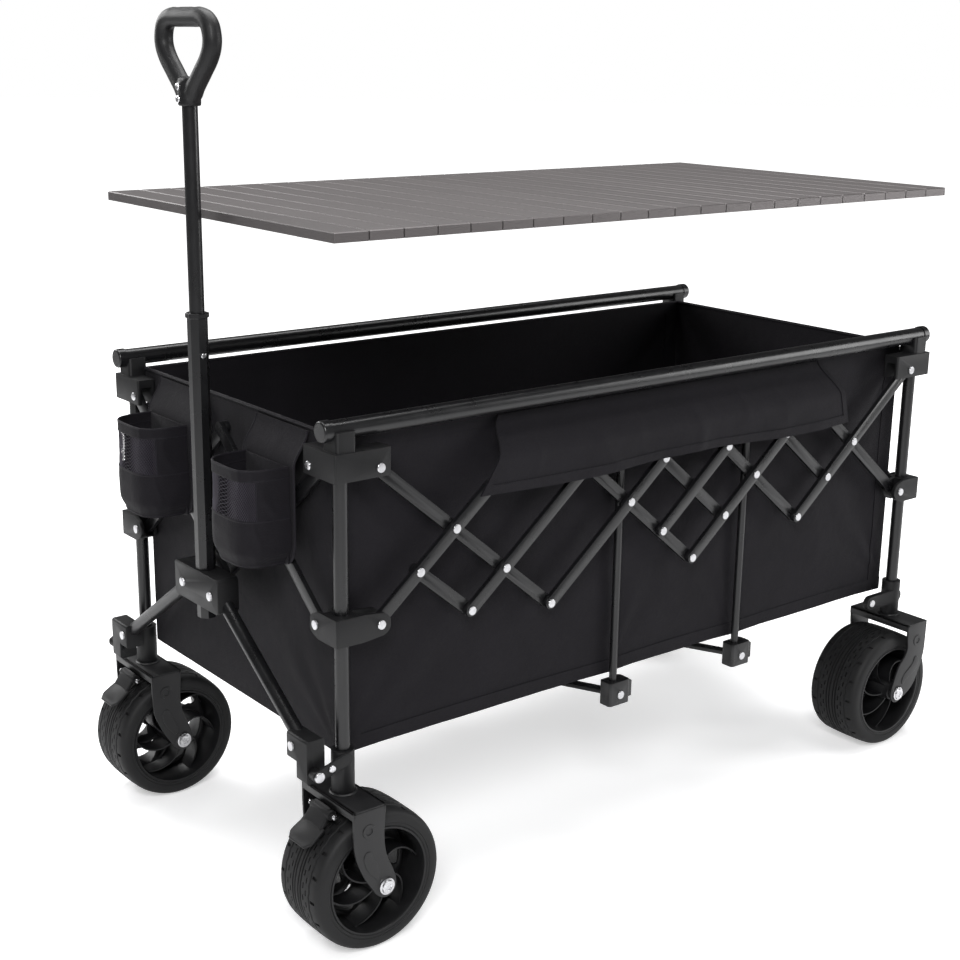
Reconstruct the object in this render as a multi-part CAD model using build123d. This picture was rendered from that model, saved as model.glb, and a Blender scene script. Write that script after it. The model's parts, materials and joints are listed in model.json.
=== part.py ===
"""Folding camp wagon: one STEP file per sub-part.

Millimetres, handle at -X, +Y is the wagon's right side, +Z up.
"""

from build123d import *
import math
import os

# ---- Frame -----------------------------------------------------------------------------------------------
POST_X = 585.0  # post axes, fore and aft of the middle
POST_Y = 288.0  # post axes, either side of the middle
POST_R = 10.0
POST_BORE_R = 8.5
POST_BOTTOM = 220.0
POST_TOP = 686.0
BRACKET_TOP = 690.0
BRACKET_LOW = 652.0
BRACKET_FRONT = 22.0  # from the post axis to the bracket's end face
BRACKET_SIDE = 23.0  # from the post axis to the bracket's side face
BRACKET_ARM_X = 65.0
TOP_ARM_Y = 54.0
MID_ARM_Y = 44.0
SCISSOR_END_Y = 258.0  # end of the end scissors, inside the brackets
EAR = 6.0
WRAP = 14.0  # half the block around the post, on its inner sides
FORK_GAP = 17.0  # slot for the two bar layers
MID_HALF = 19.0
LOBE_R = 16.0  # rounded ends of a middle bracket
SLEEVE_R = 16.0
SLEEVE_LOW = 216.0
SLEEVE_TOP = 276.0
FIT = 0.15  # radial clearance of a fixed fit
SLIDE_FIT = 0.3  # radial clearance of a sliding fit

# ---- Side lattice: two families of parallel bars, given by where each centre line passes DATUM_Z ---------
REST_ANGLE = 39.75
FOLDED_ANGLE = 80.5
TOP_Z = 664.0
MID_Z = 449.0
DATUM_Z = 550.0
FRONT_PIVOT_X = -537.0
REAR_PIVOT_X = 557.0
HIDDEN_END_Z = 606.0
BAR_WIDTH = 18.0
BAR_THICK = 7.0
INNER_Y = 289.0  # inner face of the inner layer
OUTER_Y = 297.0  # inner face of the outer layer
PIN_R = 3.0
PIN_FIT = 0.1
HEAD_R = 6.5
HEAD_THICK = 2.4
SLOPE = math.tan(math.radians(REST_ANGLE))
RISING_X = {
    "b": FRONT_PIVOT_X + (DATUM_Z - MID_Z) / SLOPE,
    "d": -238.0,
    "e": -68.0,
    "f": 71.0,
    "g": 205.0,
    "h": REAR_PIVOT_X - (TOP_Z - DATUM_Z) / SLOPE,
}
FALLING_X = {
    "a": FRONT_PIVOT_X + (TOP_Z - DATUM_Z) / SLOPE,
    "c": -521.0,
    "i": -96.0,
    "j": 41.0,
    "k": 175.0,
    "l": 312.0,
    "m": REAR_PIVOT_X - (DATUM_Z - MID_Z) / SLOPE,
}
FOLD_WIDTH_SHARE = math.cos(math.radians(FOLDED_ANGLE)) / math.cos(math.radians(REST_ANGLE))
FOLD_TRAVEL = (REAR_PIVOT_X - FRONT_PIVOT_X) * (1 - FOLD_WIDTH_SHARE)
MID_DROP = (TOP_Z - MID_Z) * (math.sin(math.radians(FOLDED_ANGLE)) / math.sin(math.radians(REST_ANGLE)) - 1)


def crossing(rising, falling):
    """Where a rising and a falling bar cross: (x, z)."""
    gap = FALLING_X[falling] - RISING_X[rising]
    return RISING_X[rising] + gap / 2, DATUM_Z + SLOPE * gap / 2


def on_rising(bar, z):
    return RISING_X[bar] + (z - DATUM_Z) / SLOPE, z


def on_falling(bar, z):
    return FALLING_X[bar] - (z - DATUM_Z) / SLOPE, z


FRONT_TOP_PIVOT = (FRONT_PIVOT_X, TOP_Z)
REAR_TOP_PIVOT = (REAR_PIVOT_X, TOP_Z)
FRONT_MID_PIVOT = (FRONT_PIVOT_X, MID_Z)
REAR_MID_PIVOT = (REAR_PIVOT_X, MID_Z)
# ends of each bar, lower end first on the rising ones and upper end first on the falling ones
RISING_ENDS = {
    "b": (FRONT_MID_PIVOT, on_rising("b", HIDDEN_END_Z)),
    "d": (crossing("d", "c"), crossing("d", "i")),
    "e": (crossing("e", "a"), crossing("e", "j")),
    "f": (crossing("f", "i"), crossing("f", "k")),
    "g": (crossing("g", "i"), crossing("g", "l")),
    "h": (crossing("h", "k"), REAR_TOP_PIVOT),
}
FALLING_ENDS = {
    "a": (FRONT_TOP_PIVOT, crossing("e", "a")),
    "c": (crossing("b", "c"), crossing("d", "c")),
    "i": (crossing("d", "i"), crossing("g", "i")),
    "j": (crossing("e", "j"), crossing("g", "j")),
    "k": (crossing("f", "k"), crossing("h", "k")),
    "l": (crossing("g", "l"), crossing("h", "l")),
    "m": (on_falling("m", HIDDEN_END_Z), REAR_MID_PIVOT),
}
RIVETED = {"b": "ca", "d": "cai", "e": "aij", "f": "ik", "g": "ijkl", "h": "klm"}
LOOSE = {("e", "j"), ("f", "k"), ("g", "i")}  # pivots between the front and rear halves, with a head only

# ---- Intermediate posts and the braces under the floor ---------------------------------------------------
MID_POST_X = {"front": crossing("e", "i")[0], "rear": crossing("g", "k")[0]}
MID_POST_Y = 279.0
MID_POST_R = 6.0
MID_POST_LOW = 236.0
MID_POST_TOP = 612.0
BRACE_RUN = 130.0  # how far forward a brace reaches on its way to the middle
BRACE_Z = 225.0

# ---- Fabric ----------------------------------------------------------------------------------------------
PANEL = 3.0
SIDE_Y = 271.5  # outer face of a side panel
END_X = 577.0  # outer face of an end panel
FABRIC_LOW = 256.0
FABRIC_TOP = 702.0
FLOOR_THICK = 6.0
POCKET_Y = 141.0
POCKET_WIDTH = 108.0
POCKET_FRONT = 672.0
POCKET_BACK = 604.0
POCKET_LOW = 515.0
POCKET_TOP = 650.0
POCKET_CORNER = 34.0

# ---- Rails and table -------------------------------------------------------------------------------------
RAIL_Z = 717.0
RAIL_R = 13.0
RAIL_BORE_R = 11.5
RAIL_END = 615.0
CAP_R = 14.5
CAP_LENGTH = 14.0
TABLE_LENGTH = 1212.0
TABLE_FRONT = -604.0
TABLE_WIDTH = 620.0
SLAT_COUNT = 23
SLAT_GAP = 2.0
SLAT_THICK = 13.0
SLAT_WALL = 2.0
SLAT_END = 5.0
TABLE_LOWERED_Z = RAIL_Z + CAP_R + 0.4
TABLE_LIFT = 223.5
STRAP_Y = 215.0
STRAP_WIDTH = 22.0
STRAP_THICK = 1.5

# ---- Wheels and forks ------------------------------------------------------------------------------------
TYRE_R = 103.0
AXLE_Z = 90.0
GROUND_Z = AXLE_Z - TYRE_R  # heights here count from a level above the ground
RIM_R = 79.5
WHEEL_WIDTH = 100.0
AXLE_TRAIL_FRONT = 26.0
AXLE_TRAIL_REAR = -43.0
AXLE_R = 6.0
AXLE_HEAD_R = 12.0
ARM_OUT = 64.5  # outer face of a fork arm from the wheel's middle plane
SHEET = 4.0
PLATE_TOP = 213.0
PLATE_HALF = 26.0
PEDAL_PIVOT = (-33.0, 195.0)  # from the post axis

# ---- Pull handle -----------------------------------------------------------------------------------------
HANDLE_PIVOT = (-634.0, 254.0)
POLE_X = -627.0
POLE_R = 13.5
POLE_BORE_R = 12.0
POLE_LOW = 388.0
PLUG_R = 16.0
POLE_TOP = 829.0
COLLAR_R = 16.0
ROD_R = 10.5
ROD_LOW = 672.0
GRIP_LOW = 1106.0
GRIP_TOP = 1232.0
GRIP_R = 12.6  # half the thickness of the loop
NECK_R = 15.5
HANDLE_TRAVEL = 262.0
BLOCK_Y = (264.0, 290.0)
BLOCK_X = (-9.0, 19.0)  # a yoke block about its pivot
BLOCK_FOOT = -16.0
BLOCK_TOP = 46.0
HEAD_LOW = 8.0
HEAD_EXTRA = 24.0  # how much wider the head of a yoke block is
STRUT_RISE = 28.0  # strut and rivet above the pivot
LINK_Y = (302.0, 306.0)  # plate that carries the pivot, outside the sleeve
LINK_WIDTH = 17.0
STRUT_R = 10.0
HUB_Z = (409.0, 461.0)
HUB_HALF = 63.0
HUB_RIVET_Z = 432.0
HUB_RIVET_Y = 40.0
HUB_DEPTH = 17.0  # half
BUTTON_Z = 772.0
BUTTON_TRAVEL = 1.3

# the origin is the middle of the whole wagon's box, from the pockets at the front to the rear tyres
ORIGIN_X = (POST_X + AXLE_TRAIL_REAR + TYRE_R - POCKET_FRONT) / 2


# ---- Helpers ---------------------------------------------------------------------------------------------
def block(x, y, z):
    """A box from its (low, high) pairs."""
    size = [abs(hi - lo) for lo, hi in (x, y, z)]
    return Pos(*[(lo + hi) / 2 for lo, hi in (x, y, z)]) * Box(*size)


def rod(start, end, radius):
    """A cylinder between two points."""
    start, end = Vector(*start), Vector(*end)
    plane = Plane(origin=start, z_dir=end - start)
    return extrude(plane * Circle(radius), amount=(end - start).length)


def tube(start, end, radius, bore):
    return rod(start, end, radius) - rod(start, end, bore)


def pin(x, z, y0, y1, radius):
    return rod((x, y0, z), (x, y1, z), radius)


def head(x, z, y, radius=HEAD_R, thick=HEAD_THICK, direction=1):
    """A rivet head with a rounded rim, standing on the plane y."""
    disc = pin(x, z, y, y + direction * thick, radius)
    rim = disc.edges().filter_by(GeomType.CIRCLE).sort_by(Axis.Y)[-1 if direction > 0 else 0]
    return fillet(rim, thick * 0.45)


def flat_bar(start, end, width, y0, y1):
    """A flat bar with round ends, between two (x, z) points, filling y0 to y1."""
    dx, dz = end[0] - start[0], end[1] - start[1]
    middle = ((start[0] + end[0]) / 2, y0, (start[1] + end[1]) / 2)
    plane = Plane(origin=middle, x_dir=(dx, 0, dz), z_dir=(0, 1, 0))
    return extrude(plane * SlotCenterToCenter(math.hypot(dx, dz), width), amount=y1 - y0)


def cross_bar(start, end, width, x0, x1):
    """A flat bar with round ends, between two (y, z) points, filling x0 to x1."""
    dy, dz = end[0] - start[0], end[1] - start[1]
    middle = (x0, (start[0] + end[0]) / 2, (start[1] + end[1]) / 2)
    plane = Plane(origin=middle, x_dir=(0, dy, dz), z_dir=(1, 0, 0))
    return extrude(plane * SlotCenterToCenter(math.hypot(dy, dz), width), amount=x1 - x0)


def solids_of(*shapes):
    """All solids of the shapes, flat in one list."""
    return [solid for shape in shapes for solid in shape.solids()]


def pair(*shapes):
    """The shapes, which lie on the right side, and their mirror images on the left."""
    right = solids_of(*shapes)
    return right + [mirror(solid, about=Plane.XZ) for solid in right]


def rear(shape):
    """A front-end shape turned into the rear end's."""
    return mirror(shape, about=Plane.YZ)


# ---- Corner frame ----------------------------------------------------------------------------------------
def corner_post(sign):
    x = sign * POST_X
    return tube((x, POST_Y, POST_BOTTOM), (x, POST_Y, POST_TOP), POST_R, POST_BORE_R)


def corner_bracket(z0, z1, arm_y, cap_low, cap_high, bore, through):
    """The front bracket: a block around the post with a slotted arm along X and one along Y."""
    x_face, y_face = -POST_X - BRACKET_FRONT, POST_Y + BRACKET_SIDE
    slot_y = (y_face - EAR - FORK_GAP, y_face - EAR)
    slot_x = (x_face + EAR, x_face + EAR + FORK_GAP)
    x_arm = block((x_face, -POST_X + BRACKET_ARM_X), (slot_y[0] - EAR, y_face), (z0, z1))
    y_arm = block((x_face, slot_x[1] + EAR), (POST_Y - arm_y, y_face), (z0, z1))
    body = x_arm + y_arm + block((x_face, -POST_X + WRAP), (POST_Y - WRAP, y_face), (z0, z1))
    body = fillet(body.edges().filter_by(Axis.Z), 3.0)
    body -= block((-POST_X + WRAP + 2, 0), slot_y, (z0 + cap_low, z1 - cap_high))
    body -= block(slot_x, (0, POST_Y - WRAP - 2), (z0 + cap_low, z1 - cap_high))
    top = z1 + 1 if through else POST_TOP
    return body - rod((-POST_X, POST_Y, z0 - 1), (-POST_X, POST_Y, top), bore)


def top_bracket(pivot_x):
    """Top corner bracket at the front right, with the bar pivot pin and the open saddle for the rail."""
    bracket = corner_bracket(BRACKET_LOW, BRACKET_TOP, TOP_ARM_Y, 0, 12, POST_R + FIT, False)
    y_face = POST_Y + BRACKET_SIDE
    bracket += pin(pivot_x, TOP_Z, y_face - EAR - FORK_GAP - EAR, y_face, PIN_R)
    bracket += head(pivot_x, TOP_Z, y_face)
    saddle = block((-POST_X - 16, -POST_X + 14), (POST_Y - 16, POST_Y + 19), (BRACKET_TOP, RAIL_Z))
    saddle = fillet(saddle.edges().filter_by(Axis.Z), 5.0)
    bracket += saddle
    return bracket - rod((-POST_X - 40, POST_Y, RAIL_Z), (-POST_X + 40, POST_Y, RAIL_Z), RAIL_R + SLIDE_FIT)


def mid_bracket(pivot_x):
    """Middle bracket at the front right: two lobes around a corner.

    It slides on the post, and its slots let the bar ends move as it does.
    """
    low, high = MID_Z - MID_HALF, MID_Z + MID_HALF
    bracket = corner_bracket(low, high, MID_ARM_Y, 9, 0, POST_R + SLIDE_FIT, True)
    y_face = POST_Y + BRACKET_SIDE
    slot_y = (y_face - EAR - FORK_GAP, y_face - EAR)
    bracket -= block((-POST_X + WRAP + 2, 0), slot_y, (MID_Z - 30, MID_Z + 30))
    lobe_y = POST_Y - MID_ARM_Y + LOBE_R
    along = make_hull(Rectangle(2 * BRACKET_FRONT, 2 * MID_HALF).moved(Location((-POST_X, MID_Z))).edges()
                      + Circle(LOBE_R).moved(Location((pivot_x, MID_Z))).edges())
    across = make_hull(Rectangle(2 * BRACKET_SIDE, 2 * MID_HALF).moved(Location((POST_Y, MID_Z))).edges()
                       + Circle(LOBE_R).moved(Location((lobe_y, MID_Z))).edges())
    bracket &= extrude(Plane.XZ * along, amount=-POST_Y - 50)
    bracket &= extrude(Plane.YZ * across, amount=-POST_X - 50)
    bracket += rod((-POST_X - BRACKET_FRONT + 1, lobe_y, MID_Z),
                   (-POST_X - BRACKET_FRONT - HEAD_THICK, lobe_y, MID_Z), HEAD_R)
    return bracket + head(pivot_x, MID_Z, y_face)


def mid_brackets(pivot_x):
    return pair(mid_bracket(pivot_x))


def lower_sleeve():
    """Front right sleeve at the foot of a post, with the slanted plate and bolt that carry the yoke."""
    sleeve = rod((-POST_X, POST_Y, SLEEVE_LOW), (-POST_X, POST_Y, SLEEVE_TOP), SLEEVE_R)
    px, pz = HANDLE_PIVOT
    sleeve += flat_bar((px, pz), (-POST_X - 4, pz + 13), LINK_WIDTH, *LINK_Y)
    sleeve += pin(px, pz, BLOCK_Y[1] + 1, LINK_Y[0] + 1, 8.0)
    sleeve -= rod((-POST_X, POST_Y, SLEEVE_LOW - 1), (-POST_X, POST_Y, SLEEVE_TOP + 1), POST_R + FIT)
    sleeve += pin(px, pz, BLOCK_Y[0] - 4, BLOCK_Y[1] + 2, 4.0)
    return sleeve + head(px, pz, LINK_Y[1], 7.5, 3.5)


def rear_lower_bracket():
    """Rear right sleeve with its flat side lug."""
    sleeve = rod((POST_X, POST_Y, SLEEVE_LOW), (POST_X, POST_Y, SLEEVE_TOP), SLEEVE_R)
    lug = flat_bar((516, 249), (POST_X, 249), 24, POST_Y + 4, POST_Y + 14)
    sleeve = sleeve + lug - rod((POST_X, POST_Y, 0), (POST_X, POST_Y, 300), POST_R + FIT)
    return sleeve + head(516, 249, POST_Y + 14)


def end_scissors():
    """Crossed bars of the front end, in two layers in front of the fabric, with a rivet at each crossing."""
    layer = {"out": (-POST_X - BRACKET_FRONT + EAR + 1, -POST_X - BRACKET_FRONT + EAR + 8)}
    layer["in"] = (layer["out"][1] + 1, layer["out"][1] + 8)
    y_end, high, low = SCISSOR_END_Y, TOP_Z - 1, MID_Z
    bars = []
    for side in (1, -1):
        for kind, z_out, z_in in (("out", high, low), ("in", low, high)):
            if side < 0:
                kind = "in" if kind == "out" else "out"
            bars.append(cross_bar((side * y_end, z_out), (0, z_in), BAR_WIDTH, *layer[kind]))
    outer = bars[0] + bars[3]
    inner = bars[1] + bars[2]
    middle = ((high + low) / 2, y_end / 2)
    for y, z in ((middle[1], middle[0]), (-middle[1], middle[0])):
        x_face = layer["out"][0]
        outer += rod((x_face + 1, y, z), (x_face - HEAD_THICK, y, z), HEAD_R)
    return solids_of(outer, inner)


# ---- Side lattice ----------------------------------------------------------------------------------------
def rising_bar(name):
    """Outer-layer bar: its rivets stand on it, and each shank runs through the inner bar that it holds."""
    bar = flat_bar(*RISING_ENDS[name], BAR_WIDTH, OUTER_Y, OUTER_Y + BAR_THICK)
    for falling in RIVETED[name]:
        x, z = crossing(name, falling)
        bar += head(x, z, OUTER_Y + BAR_THICK)
        if (name, falling) not in LOOSE:
            bar += pin(x, z, INNER_Y - 0.5, OUTER_Y + 1, PIN_R)
            bar += pin(x, z, INNER_Y - 2.0, INNER_Y - 0.5, HEAD_R - 1)
    if name == "h":
        bar -= pin(*REAR_TOP_PIVOT, OUTER_Y - 9, OUTER_Y + 9, PIN_R + PIN_FIT)
    return pair(bar)


def falling_bar(name):
    """Inner-layer bar, drilled for the rivets."""
    bar = flat_bar(*FALLING_ENDS[name], BAR_WIDTH, INNER_Y, INNER_Y + BAR_THICK)
    for rising, crossed in RIVETED.items():
        if name in crossed and (rising, name) not in LOOSE:
            bar -= pin(*crossing(rising, name), INNER_Y - 1, OUTER_Y, PIN_R + PIN_FIT)
    if name == "a":
        bar -= pin(*FRONT_TOP_PIVOT, INNER_Y - 1, OUTER_Y, PIN_R + PIN_FIT)
    return pair(bar)


# ---- Intermediate posts ----------------------------------------------------------------------------------
def mid_posts(x):
    foot, top = (x, MID_POST_Y, MID_POST_LOW), (x, MID_POST_Y, MID_POST_TOP)
    return pair(tube(foot, top, MID_POST_R, MID_POST_R - 1.2))


def mid_post_base(x):
    """Foot brackets of a pair of intermediate posts, and the V brace that joins them under the floor."""
    foot = block((x - 16, x + 26), (MID_POST_Y - 13, MID_POST_Y + 12), (208, 246))
    foot = fillet(foot.edges().filter_by(Axis.Z), 5.0)
    foot += block((x + 20, x + 38), (MID_POST_Y - 3, MID_POST_Y + 3), (212, 238))
    foot -= rod((x, MID_POST_Y, MID_POST_LOW), (x, MID_POST_Y, 260), MID_POST_R + FIT)
    foot += head(x + 6, 224, MID_POST_Y + 12)
    start, apex = Vector(x, MID_POST_Y - 8, BRACE_Z), Vector(x - BRACE_RUN, 0, BRACE_Z)
    plane = Plane(origin=(start + apex) / 2 - Vector(0, 0, 3), x_dir=apex - start, z_dir=(0, 0, 1))
    brace = extrude(plane * Rectangle((apex - start).length, 17), amount=6)
    hub = rod((apex.X, 0, BRACE_Z - 5), (apex.X, 0, BRACE_Z + 7), 15)
    return solids_of(foot + brace + mirror(foot + brace, about=Plane.XZ) + hub)


# ---- Fabric ----------------------------------------------------------------------------------------------
def side_panel(sign):
    return [block((-END_X + PANEL + 1, END_X - PANEL - 1), sorted((sign * (SIDE_Y - PANEL), sign * SIDE_Y)),
                  (FABRIC_LOW, FABRIC_TOP))]


def end_panel(sign):
    half = SIDE_Y - PANEL - 0.5
    return [block(sorted((sign * (END_X - PANEL), sign * END_X)), (-half, half), (FABRIC_LOW, FABRIC_TOP))]


def floor_panel():
    half_x, half_y = END_X - PANEL - 1, SIDE_Y - PANEL - 0.5
    return [block((-half_x, half_x), (-half_y, half_y), (FABRIC_LOW, FABRIC_LOW + FLOOR_THICK))]


def bottle_pocket(sign):
    """Open-topped bottle pocket with a flat back and rounded front corners."""
    def outline(inset):
        depth = POCKET_FRONT - POCKET_BACK - 2 * inset
        middle = -(POCKET_FRONT + POCKET_BACK) / 2
        sheet = Rectangle(depth, POCKET_WIDTH - 2 * inset)
        fronts = sheet.vertices().group_by(Axis.X)[0]
        return Pos(middle, sign * POCKET_Y, 0) * fillet(fronts, POCKET_CORNER - inset)
    shell = extrude(Pos(0, 0, POCKET_LOW) * outline(0), amount=POCKET_TOP - POCKET_LOW)
    hollow = extrude(Pos(0, 0, POCKET_LOW + PANEL) * outline(PANEL), amount=POCKET_TOP - POCKET_LOW)
    return [(shell - hollow).solid()]


# ---- Rails and table -------------------------------------------------------------------------------------
def rails():
    bar_end = RAIL_END - CAP_LENGTH
    bar = tube((-bar_end, POST_Y, RAIL_Z), (bar_end, POST_Y, RAIL_Z), RAIL_R, RAIL_BORE_R)
    caps = []
    for sign in (-1, 1):
        cap = rod((sign * bar_end, POST_Y, RAIL_Z), (sign * RAIL_END, POST_Y, RAIL_Z), CAP_R)
        rim = cap.edges().filter_by(GeomType.CIRCLE).sort_by(Axis.X)[0 if sign < 0 else -1]
        caps.append(fillet(rim, 3.0))
    return pair(bar, *caps)


SLAT_PITCH = (TABLE_LENGTH + SLAT_GAP) / SLAT_COUNT
TABLE_LOW_Z = TABLE_LOWERED_Z + TABLE_LIFT


def table_slats():
    """Hollow slats, open below, with closed ends."""
    slats = []
    for index in range(SLAT_COUNT):
        start = TABLE_FRONT + index * SLAT_PITCH
        slat = block((start, start + SLAT_PITCH - SLAT_GAP), (-TABLE_WIDTH / 2, TABLE_WIDTH / 2),
                     (TABLE_LOW_Z, TABLE_LOW_Z + SLAT_THICK))
        slat = chamfer(slat.edges().group_by(Axis.Z)[-1], 1.2)
        hollow = block((start + SLAT_WALL, start + SLAT_PITCH - SLAT_GAP - SLAT_WALL),
                       (SLAT_END - TABLE_WIDTH / 2, TABLE_WIDTH / 2 - SLAT_END),
                       (TABLE_LOW_Z - 1, TABLE_LOW_Z + SLAT_THICK - SLAT_WALL))
        slats.append((slat - hollow).solid())
    return slats


def hinge_straps():
    z = (TABLE_LOW_Z - STRAP_THICK, TABLE_LOW_Z)
    strap = block((TABLE_FRONT + 6, TABLE_FRONT + TABLE_LENGTH - 6), (STRAP_Y, STRAP_Y + STRAP_WIDTH), z)
    return pair(strap)


# ---- Wheels ----------------------------------------------------------------------------------------------
def wheel_centres():
    """Name to (x, y) of each wheel's middle."""
    front, back = -POST_X + AXLE_TRAIL_FRONT, POST_X + AXLE_TRAIL_REAR
    return {"front_left": (front, -POST_Y), "front_right": (front, POST_Y),
            "rear_left": (back, -POST_Y), "rear_right": (back, POST_Y)}


def tyre(x, y):
    half = WHEEL_WIDTH / 2
    body = pin(x, AXLE_Z, y - half, y + half, TYRE_R)
    body = fillet(body.edges().filter_by(GeomType.CIRCLE), 7.0)
    return [(body - pin(x, AXLE_Z, y - half - 1, y + half + 1, RIM_R)).solid()]


def rim(x, y):
    """Dished rim: a barrel, a hub with its bore, and six spokes."""
    half = WHEEL_WIDTH / 2
    barrel = pin(x, AXLE_Z, y - half, y + half, RIM_R - 0.1)
    barrel -= pin(x, AXLE_Z, y - half - 1, y + half + 1, RIM_R - 4)
    hub = pin(x, AXLE_Z, y - half - 6, y + half + 6, 17)
    spokes = []
    for index in range(6):
        spoke = block((16, RIM_R - 2), (-13, 13), (-5.5, 5.5))
        spokes.append(Pos(x, y, AXLE_Z) * Rot(0, index * 60, 0) * spoke)
    return [(barrel + hub + spokes - pin(x, AXLE_Z, y - 99, y + 99, AXLE_R + PIN_FIT)).solid()]


def arm_outline(trail):
    """Side view of a fork arm about its post axis, full width at the plate and sweeping back to the axle."""
    back = [(PLATE_HALF, PLATE_TOP), (23.0, 170.0), (trail + 1.0, 136.0), (trail + 12.5, 110.0),
            (trail + 17.0, AXLE_Z)]
    front = [(trail - 15.0, AXLE_Z - 8.0), (-3.0, 100.0), (-19.0, 134.0), (-25.0, 168.0),
             (-PLATE_HALF, PLATE_TOP)]
    boss = ThreePointArc(back[-1], (trail + 1.0, AXLE_Z - 17.0), front[0])
    return make_face([Line(front[-1], back[0]), Spline(back), boss, Spline(front)])


def fork_plate(x, y, trail):
    """Stamped fork: a top plate with turned-down edges and two arms that sweep back to the axle."""
    outline = arm_outline(abs(trail))
    if trail < 0:
        outline = mirror(outline, about=Plane.YZ)
    side = Plane(origin=(x, y + ARM_OUT, 0), x_dir=(1, 0, 0), z_dir=(0, -1, 0))
    arm = extrude(side * outline, amount=SHEET)
    arms = [arm, Pos(0, SHEET - 2 * ARM_OUT, 0) * arm]
    across = (y - ARM_OUT, y + ARM_OUT)
    plate = block((x - PLATE_HALF, x + PLATE_HALF), across, (PLATE_TOP - SHEET, PLATE_TOP))
    lips = [block((x + s * PLATE_HALF, x + s * (PLATE_HALF - SHEET)), across, (PLATE_TOP - 12, PLATE_TOP))
            for s in (1, -1)]
    fork = plate + arms + lips
    return fork - pin(x + trail, AXLE_Z, y - 90, y + 90, AXLE_R + FIT)


def axle_bolt(x, y):
    bolt = pin(x, AXLE_Z, y - ARM_OUT, y + ARM_OUT, AXLE_R)
    bolt += head(x, AXLE_Z, y + ARM_OUT, AXLE_HEAD_R, 5.0)
    return bolt + head(x, AXLE_Z, y - ARM_OUT, AXLE_HEAD_R, 5.0, -1)


def swivel_fork(y):
    """Front fork with its bearing cup and the stem that turns in the post."""
    x = -POST_X
    fork = fork_plate(x, y, AXLE_TRAIL_FRONT)
    fork += rod((x, y, PLATE_TOP - 1), (x, y, SLEEVE_LOW - 0.4), 19)
    fork += rod((x, y, PLATE_TOP - 1), (x, y, SLEEVE_TOP - 4), POST_BORE_R - SLIDE_FIT)
    px, pz = PEDAL_PIVOT
    ears = [block((x + px - 5, x - PLATE_HALF + 2), (y + s * 27, y + s * 23), (pz - 7, PLATE_TOP))
            for s in (1, -1)]
    fork += ears
    fork -= pin(x + px, pz, y - 30, y + 30, 2.6)
    return solids_of(fork, axle_bolt(x + AXLE_TRAIL_FRONT, y))


def fixed_forks():
    fork = fork_plate(POST_X, POST_Y, AXLE_TRAIL_REAR)
    fork += rod((POST_X, POST_Y, PLATE_TOP - 1), (POST_X, POST_Y, SLEEVE_LOW - 0.2), 19)
    fork += rod((POST_X, POST_Y, PLATE_TOP - 1), (POST_X, POST_Y, SLEEVE_TOP - 4), POST_BORE_R - FIT)
    return pair(fork)


def rear_axles():
    return pair(axle_bolt(POST_X + AXLE_TRAIL_REAR, POST_Y))


def brake_pedal(y):
    """Foot pedal hinged between the two ears at the front of a fork."""
    px, pz = PEDAL_PIVOT
    x = -POST_X + px
    barrel = pin(x, pz, y - 22.5, y + 22.5, 6)
    stub = pin(x, pz, y - 27, y + 27, 2.5)
    flap = flat_bar((x - 2, pz), (x - 15, pz - 20), 7, y - 22, y + 22)
    foot = flat_bar((x - 15, pz - 20), (x - 41, pz - 35), 7, y - 27, y + 27)
    return [(barrel + stub + flap + foot).solid()]


# ---- Pull handle -----------------------------------------------------------------------------------------
def yoke_block():
    """L-shaped end block of the yoke: a narrow foot on the pivot and a wider head that holds the strut."""
    px, pz = HANDLE_PIVOT
    depth = (px + BLOCK_X[0], px + BLOCK_X[1])
    foot = block(depth, BLOCK_Y, (pz + BLOCK_FOOT, pz + BLOCK_TOP))
    body = foot + block(depth, (BLOCK_Y[0] - HEAD_EXTRA, BLOCK_Y[1]), (pz + HEAD_LOW, pz + BLOCK_TOP))
    body = fillet(body.edges().filter_by(Axis.Y), 4.0)
    rivet_y, rivet_z = BLOCK_Y[0] - HEAD_EXTRA / 2, pz + STRUT_RISE
    body += rod((depth[0] + 1, rivet_y, rivet_z), (depth[0] - HEAD_THICK, rivet_y, rivet_z), HEAD_R)
    return body - pin(px, pz, BLOCK_Y[0] - 1, BLOCK_Y[1] + 1, 4.0 + PIN_FIT)


def yoke_hub():
    body = block((POLE_X - HUB_DEPTH, POLE_X + HUB_DEPTH), (-HUB_HALF, HUB_HALF), HUB_Z)
    body = chamfer(body.edges().filter_by(Axis.X), 4.0)
    body -= rod((POLE_X, 0, HUB_Z[0] - 1), (POLE_X, 0, HUB_Z[1] + 1), POLE_R + FIT)
    face = POLE_X - HUB_DEPTH
    for y in (-HUB_RIVET_Y, HUB_RIVET_Y):
        body += rod((face + 1, y, HUB_RIVET_Z), (face - HEAD_THICK, y, HUB_RIVET_Z), HEAD_R)
    return body


def yoke_strut():
    pz = HANDLE_PIVOT[1]
    start = (POLE_X, BLOCK_Y[0] - 6, pz + STRUT_RISE)
    strut = rod(start, (POLE_X, 46, HUB_RIVET_Z - 5), STRUT_R)
    hub_clear = block((POLE_X - HUB_DEPTH, POLE_X + HUB_DEPTH), (-HUB_HALF, HUB_HALF), HUB_Z)
    block_clear = block((-700, -600), (BLOCK_Y[0] - HEAD_EXTRA, BLOCK_Y[1]), (0, pz + BLOCK_TOP))
    return strut - hub_clear - block_clear


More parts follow.
